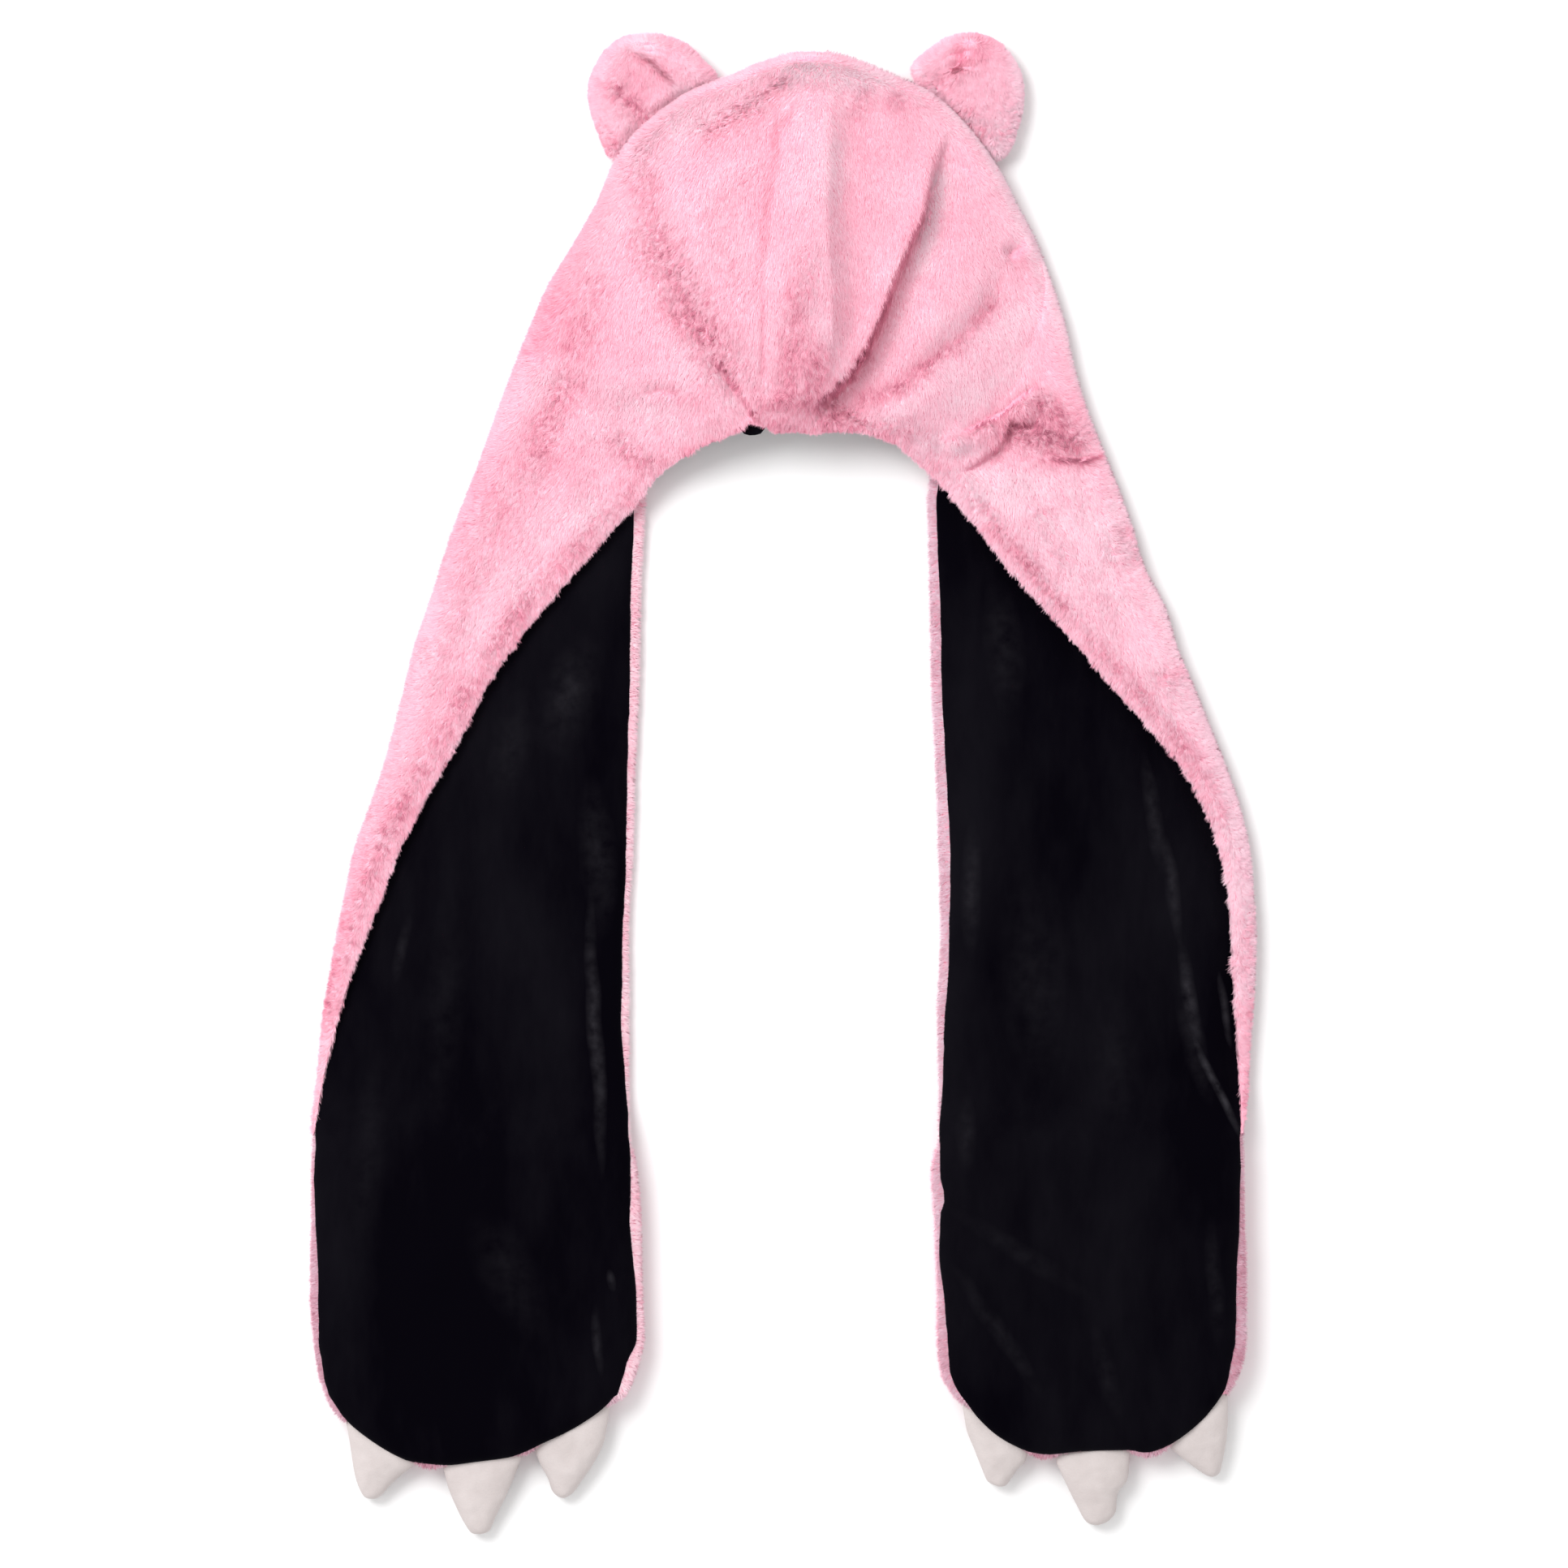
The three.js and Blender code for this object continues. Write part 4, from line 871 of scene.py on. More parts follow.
# --------------------------------------------------------------- hood back
# Cross lines from the outer fold to the free edge. The bands' lines are level
# and the hood's fan out from the nape.
def cross_lines(inset_fold, inset_hem):
    top_l, len_tl = along(CROWN[:12])
    top_r, len_tr = along(CROWN[11:][::-1])
    nape_l, _ = along(NAPE_EDGE[:12])
    nape_r, _ = along(NAPE_EDGE[11:][::-1])
    shoulder = 159.0
    rows = []
    for key, top, nape, hem_side in (("left", top_l, nape_l, HEM_LEFT), ("right", top_r, nape_r, HEM_RIGHT)):
        hem_x = column([q[1] for q in hem_side], [q[0] for q in hem_side])
        y1 = np.linspace(-216, shoulder, 84)[:-1]
        s = np.stack([side[key](y1), y1], -1)
        h = np.stack([hem_x(y1), y1], -1)
        k = np.linspace(0, 1, 150)
        y2 = np.linspace(shoulder, 359, 400)
        up = np.concatenate([np.stack([side[key](y2), y2], -1)[:-1], top(np.linspace(0, 1, 400))])
        run = np.concatenate([[0], np.cumsum(np.hypot(*np.diff(up, axis=0).T))])
        run /= run[-1]
        s2 = np.stack([np.interp(k, run, up[:, 0]), np.interp(k, run, up[:, 1])], -1)
        h2 = nape(k ** 1.05)
        rows.append((np.concatenate([s, s2]), np.concatenate([h, h2])))
    (sl, hl), (sr, hr) = rows
    s = np.concatenate([sl, sr[::-1][1:]])
    h = np.concatenate([hl, hr[::-1][1:]])

    wide = np.hypot(*(h - s).T)

    def shifted(c, amount):
        t = np.gradient(c, axis=0)
        t /= np.maximum(np.hypot(t[:, 0], t[:, 1])[:, None], 1e-9)
        keep = np.minimum(1, 0.28 * wide / abs(amount))
        return c + (amount * keep)[:, None] * np.stack([t[:, 1], -t[:, 0]], -1)
    return shifted(s, inset_fold), shifted(h, -inset_hem)


s_line, h_line = cross_lines(2.4, 1.7)
# a little waviness of the free edge, as the tufts pull it in and out
run = np.arange(len(h_line), dtype=float)
t_h = np.gradient(h_line, axis=0)
t_h /= np.maximum(np.hypot(t_h[:, 0], t_h[:, 1])[:, None], 1e-9)
wave = 0.5 * noise(h_line[:, 0], h_line[:, 1], 11, 5) + 0.3 * noise(h_line[:, 0], h_line[:, 1], 5, 6)
wave = wave - 1.5 * np.exp(-(((h_line[:, 0] - 100) / 26) ** 4)) * ease(h_line[:, 1], 110, 140)
wave = wave + (1.7 - 2.6 * np.exp(-(((h_line[:, 0] + 18) / 8) ** 4))) * ease(h_line[:, 1], 185, 206) + 1.2 * np.exp(-(((h_line[:, 0] - 82) / 9) ** 2)) * ease(h_line[:, 1], 170, 190)
wave = wave * np.clip(np.hypot(*(h_line - s_line).T) / 20, 0, 1)
h_line = h_line + wave[:, None] * np.stack([t_h[:, 1], -t_h[:, 0]], -1)
width_line = np.hypot(*(h_line - s_line).T)
tt = spread(88, 8, 11.0, width_line)
hood_xy = s_line[:, None, :] * (1 - tt[..., None]) + h_line[:, None, :] * tt[..., None]
X, Y = hood_xy[..., 0], hood_xy[..., 1]
d_fold = far_from(X, Y, s_line, 2)
d_hem = far_from(X, Y, h_line, 2)
d_end = np.minimum(np.arange(X.shape[0])[:, None], np.arange(X.shape[0])[::-1][:, None]) * 3.2 * np.ones(X.shape)
hood_tufts = tuft_map(X, Y, TUFTS)
across_mm = tt * width_line[:, None]
along_mm = np.arange(X.shape[0])[:, None] * 4.4 + 0 * X
patchy = np.clip(0.45 + 0.7 * noise(across_mm, along_mm * 0.28, 15, 41) + 0.35 * noise(X, Y, 17, 42), 0, 1)
low_part = ease(-Y, -260, -150)
hood_tufts = np.maximum(hood_tufts, low_part * (0.06 + 0.50 * patchy))
hood_tufts = np.maximum(hood_tufts, 0.10 * patchy)
at_nape = ease(Y, 165, 200)
hood_tufts = np.maximum(hood_tufts, (0.50 + 0.40 * patchy) * (1 - 0.45 * at_nape) * np.exp(-(((d_hem - 10) / 8) ** 2)))
hood_tufts = np.maximum(hood_tufts, 0.22 * (d_hem < 6))
stand = bell(X, Y)
folds = fold_height(X, Y, FOLDS)
give = np.clip((stand - 4) / 18, 0, 1)
under = lift(Y) + SEAM_TOP + (LINING_TOP - SEAM_TOP) * ease(d_fold + 2.6, 8, 10.5) + stand + folds * give
rough = (0.5 * noise(X, Y, 22, 51) + 0.25 * noise(X, Y, 9, 52)) * (0.6 + 0.7 * hood_tufts)
rough = rough + hood_tufts * 0.35 * noise(X, Y, 7, 53)
body = 2.6 + 6.0 * swell(d_fold, 14) - 2.2 * (1 - swell(d_hem, 8))
narrow = np.clip(width_line / 26, 0.35, 1)[:, None]
body = body * (0.45 + 0.55 * narrow)
# Taken off the pile's tone: painted shade in fold lows, the marked painted shade and light, and a patchy deeper band
# about 9 mm in from the free edge, weaker at the nape.
hood_dark = fold_shade(X, Y, FOLDS)
hood_dark = hood_dark + tone_map(X, Y, SHADE_LIGHT_TONES)
hood_dark = hood_dark + 0.22 * np.exp(-(((d_hem - 9) / 6) ** 2)) * np.clip(0.4 + patchy, 0, 1) * (1 - 0.8 * at_nape)
top = (lift(Y) + SEAM_TOP + (LINING_TOP - SEAM_TOP) * ease(d_fold, 0, 13) + stand + body
       + folds * np.clip(0.75 + (stand - 4) / 18, 0.75, 1) * np.clip(d_fold / 12, 0, 1) * np.clip(0.3 + d_hem / 8, 0, 1)
       + rough * np.clip(d_fold / 6, 0.2, 1) * np.clip(d_hem / 5, 0.2, 1))
top = np.maximum(top, under + 0.8)
hood_plush, P = pillow("hood_plush", hood_xy, top, under, undercoat)
N = grid_normals(P)
out_fold = outward(X, Y, s_line[::3])
out_hem = outward(X, Y, h_line[::3])
down = np.dstack([0.0022 * (X - 8), -np.ones_like(X), np.zeros_like(X)])
against = np.clip(-(unit(down) * out_fold).sum(-1), 0, 1)
near_fold = np.exp(-((d_fold / (12 - 7.5 * against)) ** 2))[..., None]
near_hem = np.exp(-((d_hem / 11) ** 2))[..., None]
comb = unit(down) * (1 - 0.75 * near_fold) + 1.2 * near_fold * out_fold + 1.0 * near_hem * out_hem
drop = np.dstack([np.zeros_like(X), np.zeros_like(X), -0.5 * near_fold[..., 0] * swell(6 - d_fold, 6)])
comb = comb + drop
weight = 1 + 0.6 * hood_tufts + 0.6 * near_fold[..., 0] + 0.5 * near_hem[..., 0]
pile.grow("hood_fur_pile", P, N, comb, hood_tufts, weight, 440000, 6.0, 101, size=1.9, dark=hood_dark,
          reach=(1 - (0.15 - 0.45 * noise(X, Y, 6, 57)) * np.exp(-((d_hem / 5) ** 2)) - 0.15 * np.exp(-((d_fold / 4) ** 2))),
          calm=np.clip(0.95 * np.exp(-((d_fold / 26) ** 4)) + 0.5 * ease(X, 85, 130) * (1 - 0.6 * hood_tufts) + tuft_map(X, Y, EVEN)
                       + 0.3 * np.exp(-((d_hem / 5) ** 2)), 0, 0.96),
          press=8 * np.exp(-((d_fold / 14) ** 2)) * ease(X, 40, 100))

# lining of the hood's back
lin_y = np.linspace(424, 217.2, 70)


def lining_half(y):
    return np.sqrt(1 - np.clip((LINING + 2 * GAP + 1.2) / puff["rise"](y), 0, 0.98) ** (1 / 1.15)) * puff["half"](y)


nape_path, _ = along(NAPE_EDGE)
q = np.linspace(0, 1, 60)
low_edge = nape_path(0.12 + 0.76 * q)
low_edge[:, 1] += 6.0 - 10.2 * np.exp(-(((low_edge[:, 0] + 19) / 9) ** 4))
first = np.stack([puff["mid"](424.0) + (q * 2 - 1) * lining_half(424.0), np.full(60, 424.0)], -1)
fold_at = {k: column([q[1] for q in c], [q[0] for q in c]) for k, c in (("left", CROWN[:12]), ("right", CROWN[11:]))}


def fold_place(key, y):
    return np.where(y > 359, fold_at[key](y), side[key](np.minimum(y, 359)))


side_l = np.stack([np.maximum(puff["mid"](lin_y) - lining_half(lin_y), fold_place("left", lin_y) + 16), lin_y], -1)
side_r = np.stack([np.minimum(puff["mid"](lin_y) + lining_half(lin_y), fold_place("right", lin_y) - 16), lin_y], -1)
v = np.linspace(0, 1, 70)[:, None]
wide = np.minimum(1, 1.0 - 0.0 * v)
left_edge = side_l * (1 - ease(v, 0.55, 1)) + np.array([low_edge[0]]) * ease(v, 0.55, 1)
right_edge = side_r * (1 - ease(v, 0.55, 1)) + np.array([low_edge[-1]]) * ease(v, 0.55, 1)
uu = q[None, :, None]
lin_xy = (left_edge[:, None, :] * (1 - uu) + right_edge[:, None, :] * uu) * (1 - v[..., None]) + v[..., None] * (
    left_edge[:, None, :] * (1 - uu) + right_edge[:, None, :] * uu)
bend = (low_edge - (low_edge[0] * (1 - q[:, None]) + low_edge[-1] * q[:, None]))[None, :, :]
lin_xy = lin_xy + bend * ease(v, 0.35, 1)[..., None]
LX, LY = lin_xy[..., 0], lin_xy[..., 1]
l_under = lift(LY) + LINING_TOP + bell(LX, LY) + fold_height(LX, LY, FOLDS) * np.clip((bell(LX, LY) - 4) / 18, 0, 1)
hood_velvet, _ = pillow("hood_velvet", lin_xy, l_under - GAP, l_under - GAP - LINING, velvet)


# -------------------------------------------------------------------- arms
def coons(c0, c1, d0, d1, u, v):
    """Patch between four edges: c0, c1 across at v 0 and 1, d0, d1 down at u 0 and 1."""
    uu, vv = u[None, :, None], v[:, None, None]
    return ((1 - vv) * c0[None] + vv * c1[None] + (1 - uu) * d0[:, None] + uu * d1[:, None]
            - (1 - uu) * (1 - vv) * c0[0] - uu * (1 - vv) * c0[-1] - (1 - uu) * vv * c1[0] - uu * vv * c1[-1])


def arm_grid(outer_x, inner_x, rows, end, corners, columns, edge, paw_rows):
    """Level rows, then a patch that ends on the paw's round end. end runs from outer to inner."""
    u = spread(columns, 6, edge, np.array(190.0))
    upper = []
    for y in rows:
        a, b = float(outer_x(y)), float(inner_x(y))
        k = spread(columns, 6, edge, np.array(abs(b - a)))
        upper.append(np.stack([a + (b - a) * k, np.full(len(k), y)], -1))
    y0 = rows[-1]
    path, _ = along(end)
    fine = path(np.linspace(0, 1, 600))
    ia = int(np.argmin(np.hypot(*(fine - np.array(corners[0])).T)))
    ib = int(np.argmin(np.hypot(*(fine - np.array(corners[1])).T)))
    first = upper[-1]

    def resample(points, places):
        r = np.concatenate([[0], np.cumsum(np.hypot(*np.diff(points, axis=0).T))])
        r /= r[-1]
        return np.stack([np.interp(places, r, points[:, 0]), np.interp(places, r, points[:, 1])], -1)
    k = np.concatenate([np.linspace(0, 0.82, paw_rows - 6), 0.82 + 0.18 * (1 - (1 - np.linspace(0, 1, 7)[1:]) ** 1.5)])
    ys_side = np.linspace(y0, end[0][1], 40)
    left_pts = np.concatenate([np.stack([outer_x(ys_side), ys_side], -1), fine[:ia + 1][1:]])
    ys_in = np.linspace(y0, end[-1][1], 40)
    right_pts = np.concatenate([np.stack([inner_x(ys_in), ys_in], -1), fine[ib:][::-1][1:]])
    bottom = resample(fine[ia:ib + 1], u)
    lower = coons(resample(first, u), bottom, resample(left_pts, k), resample(right_pts, k), u, k)
    return np.concatenate([np.array(upper)[:-1], lower])


middle_seam = lambda y: FACE_X + 17.5 * ease(y, FACE_TOP, 452)


def face_edge(key, y, margin):
    """Inner edge of one half of the lower layer, set back by margin."""
    sign = -1 if key == "left" else 1
    y = np.asarray(y, float)
    k = np.clip((y - FACE_FOOT) / (FACE_TOP + (0 if margin == 0 else margin) - FACE_FOOT), 0, 1)
    arch = FACE_X + sign * (FACE_HALF * np.sqrt(1 - k * k) + margin)
    seam = middle_seam(y) + sign * 0.2
    inner = fur_inner[key](y) if margin == 0 else None
    if inner is None:
        inner = arch
    blend = ease(y, FACE_FOOT - 30, FACE_FOOT + 20)
    low = fur_inner[key](np.minimum(y, 184)) if margin == 0 else velvet_inner[key](np.minimum(y, 184))
    x = np.where(y < FACE_FOOT, low, low * (1 - blend) + arch * blend)
    return np.where(y > FACE_TOP + margin, seam + sign * (0 if margin == 0 else 1.0), x)


ARM_ROWS = np.concatenate([np.array([451.5, 449, 446, 442, 437, 430, 420, 408, 395, 384, 377, 372, 369.8, 368.5, 366.5, 363,
                                     358, 350, 340]), np.linspace(330, -330, 100)])
FUR_OUT = 3.6
arms = {}
for key, sign in (("left", -1), ("right", 1)):
    crown_path = np.array(CROWN[:12] if key == "left" else CROWN[11:][::-1])
    crown_x = column(crown_path[:, 1], crown_path[:, 0])

    def fold_x(y, k=key, c=crown_x):
        y = np.asarray(y, float)
        return np.where(y > 359, c(y), side[k](np.minimum(y, 359)))

    # fur side, pile side down
    v_end = np.array(VELVET_END[key])
    tang = np.gradient(v_end, axis=0)
    tang /= np.hypot(tang[:, 0], tang[:, 1])[:, None]
    normal = np.stack([tang[:, 1], -tang[:, 0]], -1) * (1 if key == "left" else -1)
    if (normal[len(normal) // 2] @ np.array([0, -1])) < 0:
        normal = -normal
    pad = 0.9
    fine_end, _ = along(v_end)
    v_end = fine_end(np.linspace(0, 1, 90))
    tang = np.gradient(v_end, axis=0)
    tang /= np.hypot(tang[:, 0], tang[:, 1])[:, None]
    normal = np.stack([tang[:, 1], -tang[:, 0]], -1)
    if (normal[len(normal) // 2] @ np.array([0, -1])) < 0:
        normal = -normal
    claw_here = np.zeros(len(v_end))
    for c in CLAWS:
        if key in c["name"]:
            d_, t_, _s = near_path(v_end[:, 0], v_end[:, 1], [c["a"][0], c["b"][0]])
            claw_here = np.maximum(claw_here, ((t_ > 0.01) & (t_ < 0.99) & (d_ < 7)) * 1.0)
    soft = np.convolve(np.pad(claw_here, 2, mode="edge"), np.ones(5) / 5, "valid")
    f_end = v_end + normal * (1.6 - 3.4 * soft)[:, None]
    f_end[0] = [float(fold_x(-376)) - sign * 1.9, -376]
    f_end[-1] = [float(fur_inner[key](-376)) + sign * 1.9, -376]
    o_x = lambda y, f=fold_x: f(y) - sign * 2.2
    i_x = lambda y, k=key: face_edge(k, y, 0) + sign * np.where(np.asarray(y) < FACE_TOP, 1.9, 0.0)
    corner_o = f_end[8]
    corner_i = f_end[-14]
    xy = arm_grid(o_x, i_x, ARM_ROWS, f_end.tolist(), [corner_o, corner_i], 30, 9.0, 26)
    ax, ay = xy[..., 0], xy[..., 1]
    rim_line = np.concatenate([xy[:, 0], xy[-1, 1:-1], xy[:, -1][::-1]])
    d = far_from(ax, ay, rim_line, 1)
    d = np.where(ay > FACE_TOP, np.minimum(far_from(ax, ay, xy[:, 0], 1), np.hypot(ax - 19, ay - 452) + 3), d)
    z = soft_lift(ay)
    grain = (0.6 * noise(ax, ay, 14, 61) + 0.35 * noise(ax, ay, 6, 62)) * np.clip(d / 8, 0, 1)
    f_top = z + 5.0 + 3.8 * swell(d, 6.5)
    f_under = z + 5.0 - 4.6 * swell(d, 7) + 0.35 + np.clip(grain, -0.3, 1) * 0.5
    plush, P = pillow(f"arm_plush_{key}", xy, f_top, f_under, undercoat)
    Na = grid_normals(P)
    arms[key] = dict(plush=plush)
    out = outward(ax, ay, rim_line[::2])
    at_inner = np.exp(-((far_from(ax, ay, xy[ay[:, -1] < 185][:, -1], 1) / 6.5) ** 2)) * (ay < 190)
    at_end = np.exp(-((far_from(ax, ay, xy[-1], 1) / 6.5) ** 2))
    at_outer = np.exp(-((far_from(ax, ay, xy[:, 0], 1) / 5.0) ** 2))
    w = np.maximum.reduce([at_inner, at_end, at_outer * 0.9])
    w = np.where(w < 0.2, 0, w)
    # the rim belongs to both sides: grow from a small rolled edge strip
    ring = np.concatenate([xy[ay[:, 0] < 455][:, 0], xy[-1, 1:-1], xy[:, -1][ay[:, -1] < FACE_TOP - 2][::-1]])
    base_z = soft_lift(ring[:, 1])
    tang = unit(np.gradient(ring, axis=0))
    nr = np.stack([tang[:, 1], -tang[:, 0]], -1)
    mid = ring.mean(0)
    if ((ring + nr - mid) ** 2).sum() < ((ring - nr - mid) ** 2).sum():
        nr = -nr
    strip, s_n, s_c = rim_strip(ring, nr, base_z, 2.2, 5.0, 4.0, (-7.0, -4.6), -25)
    s_t = 0.10 + 0.2 * np.clip(0.5 + noise(strip[..., 0], strip[..., 1], 12, 63), 0, 1)
    keep = 1 - ease(strip[..., 1], 180, 420) * 0.5
    for c in CLAWS:
        d_, t_, _s = near_path(strip[..., 0], strip[..., 1], [c["a"][0], c["b"][0]])
        keep = keep * np.where((t_ > 0.02) & (t_ < 0.98) & (d_ < 7.5), 0, 1)
    outer = (sign * strip[..., 0] > 190) | (strip[..., 1] < -376)
    still = np.full(keep.shape, 0.45)
    # The rim copies with tone -0.62, and tone -0.40 on the right arm's inner edge, are painted shade.
    pile.grow(f"arm_rim_{key}_pile", strip, s_n, s_c, s_t, keep * outer, 22000, 4.6, 221 + (sign > 0), lean=76, stand=24,
              width=0.40, size=2.0, tone=-0.62, calm=still)
    pile.grow(f"arm_fur_{key}_pile", strip, s_n, s_c, s_t, keep * ~outer, 24000, 4.6, 201 + (sign > 0), lean=76, stand=24,
              width=0.40, size=2.0, tone=-0.04 if key == "left" else -0.40, calm=still)

    # velvet side
    hem_rows = HEM_LEFT if key == "left" else HEM_RIGHT
    hem_side = column([q[1] for q in hem_rows], [q[0] for q in hem_rows])

    def v_outer(y, k=key, f=fold_x):
        y = np.asarray(y, float)
        band = np.abs(f(y) - hem_side(y))
        inside = f(y) - sign * np.minimum(14.0, np.maximum(1.6, 0.55 * band))
        low = velvet_low[k](np.minimum(y, -216.0))
        return np.where(y < -226, low, low * (1 - ease(y, -226, -206)) + inside * ease(y, -226, -206))

    def v_inner(y, k=key):
        return face_edge(k, y, 6.0)
    rows = ARM_ROWS[(ARM_ROWS < 425)]
    vxy = arm_grid(v_outer, v_inner, rows, VELVET_END[key], [v_end[6], v_end[-12]], 44, 7.0, 34)
    shake = 0.45 * noise(vxy[..., 1], vxy[..., 0], 13, 74) + 0.3 * noise(vxy[..., 1], vxy[..., 0], 5, 75)
    frac = np.linspace(0, 1, vxy.shape[1])[None, :]
    lead = np.where(frac < 0.5, sign, -sign)
    vxy[..., 0] += shake * lead * (np.abs(frac - 0.5) * 2) ** 4 * (vxy[..., 1] < 180)
    vx, vy = vxy[..., 0], vxy[..., 1]
    rim_v = np.concatenate([vxy[:, 0], vxy[-1, 1:-1], vxy[:, -1][::-1]])
    dv_ = far_from(vx, vy, rim_v, 1)
    open_part = 1 - ease(vy, 120, 200)
    if key == "left":
        creases = [dict(kind="ridge", height=1.6, near=5, far=5, taper=(0.2, 0.3), path=[(-121, -78), (-112, -232)]),
                   dict(kind="ridge", height=1.2, near=4, far=4, taper=(0.2, 0.3), path=[(-118, -322), (-112, -362)]),
                   dict(kind="valley", height=1.0, near=4, far=4, taper=(0.3, 0.3), path=[(-231, -84), (-238, -112)]),
                   dict(kind="valley", height=1.4, near=9, far=9, taper=(0.2, 0.2), path=[(-150, 60), (-190, -60), (-200, -190)]),
                   dict(kind="ridge", height=1.5, near=12, far=12, taper=(0.3, 0.3), path=[(-180, -250), (-240, -330)])]
    else:
        creases = [dict(kind="step", low="right", height=3.0, near=4, far=12, taper=(0.25, 0.05),
                        path=[(236, -100), (254, -152), (268, -190), (281, -216)]),
                   dict(kind="ridge", height=2.0, near=7, far=7, taper=(0.2, 0.2), path=[(244, 12), (262, -50), (273, -102)]),
                   dict(kind="valley", height=1.5, near=7, far=7, taper=(0.3, 0.2), path=[(232, 22), (248, -60), (258, -130)]),
                   dict(kind="ridge", height=1.6, near=8, far=8, taper=(0.05, 0.3), path=[(99, -258), (150, -290), (190, -318)]),
                   dict(kind="valley", height=1.4, near=6, far=6, taper=(0.05, 0.3), path=[(99, -282), (135, -322), (162, -376)]),
                   dict(kind="ridge", height=1.2, near=6, far=6, taper=(0.3, 0.3), path=[(210, -330), (222, -380)])]
    wob = 0.9 * noise(vx, vy, 60, 71) + 0.5 * noise(vx, vy, 26, 72) + 0.18 * noise(vx, vy, 10, 73)
    plump = 3.4 * swell(dv_, 26) * open_part + 1.2 * ease(-vy, 214, 232) * swell(dv_, 18)
    under_band = ease(far_from(vx, vy, HEM_LINE[::1], 1), 0, 12)
    inside_band = np.abs(vx) > np.abs(column([q[1] for q in (HEM_LEFT if key == "left" else HEM_RIGHT)],
                                             [q[0] for q in (HEM_LEFT if key == "left" else HEM_RIGHT)])(vy))
    free = np.where((vy > -216) & (inside_band | (vy > 159)), 0.0, 1.0)
    free = free * np.where(vy > -216, under_band, 1.0)
    v_seam = soft_lift(vy) + 8.9
    v_top = v_seam + LINING + (plump + wob + fold_height(vx, vy, creases)) * swell(dv_, 9) * free
    v_top = np.maximum(v_top, v_seam + 0.8)
    # the seam pulls the velvet's edge down onto the fur
    v_under = v_seam - 0.0 * v_top
    rim_drop = 2.0 * (1 - swell(dv_, 5)) * np.where(free > 0.3, 1, 0)
    velvet_ob, P = pillow(f"arm_velvet_{key}", vxy, v_top - rim_drop, np.minimum(v_under, v_top - rim_drop - 0.5) - 0.4 * (dv_ < 0.1), velvet)
    arms[key]["velvet"] = velvet_ob

    # fur patch of the hand pocket, under the paw
    p_rows = np.concatenate([[-224.5, -226, -229], np.linspace(-234, -330, 22)])
    pxy = arm_grid(o_x, i_x, p_rows, f_end.tolist(), [corner_o, corner_i], 34, 9.0, 22)
    px, py = pxy[..., 0], pxy[..., 1]
    rim_p = np.concatenate([pxy[:, 0], pxy[-1, 1:-1], pxy[:, -1][::-1]])
    dp = far_from(px, py, rim_p, 1)
    p_top = 6.6 + 5.4 * (1 - ease(dp, 8.0, 11.0)) * ease(-py, 224, 232) - 3.0 * (1 - swell(dp, 5))
    p_under = 0.4 + 3.4 * (1 - swell(dp, 7)) + 0.3 * np.clip(noise(px, py, 9, 64), 0, 1)
    pocket, _ = pillow(f"pocket_plush_{key}", pxy, p_top, p_under, undercoat)
    arms[key]["pocket"] = pocket
    ring = np.concatenate([pxy[:, 0], pxy[-1, 1:-1], pxy[:, -1][::-1]])
    tang = unit(np.gradient(ring, axis=0))
    nr = np.stack([tang[:, 1], -tang[:, 0]], -1)
    mid = ring.mean(0)
    if ((ring + nr - mid) ** 2).sum() < ((ring - nr - mid) ** 2).sum():
        nr = -nr
    strip, s_n, s_c = rim_strip(ring, nr, 0 * ring[:, 0], 2.0, 6.2, 4.6, (), -40)
    s_t = 0.12 + 0.2 * np.clip(0.5 + noise(strip[..., 0], strip[..., 1], 12, 65), 0, 1)
    pile.grow(f"pocket_fur_{key}_pile", strip, s_n, s_c, s_t, np.ones(s_t.shape), 7000, 4.8, 211 + (sign > 0), lean=70,
              stand=22, width=0.42, size=2.0)

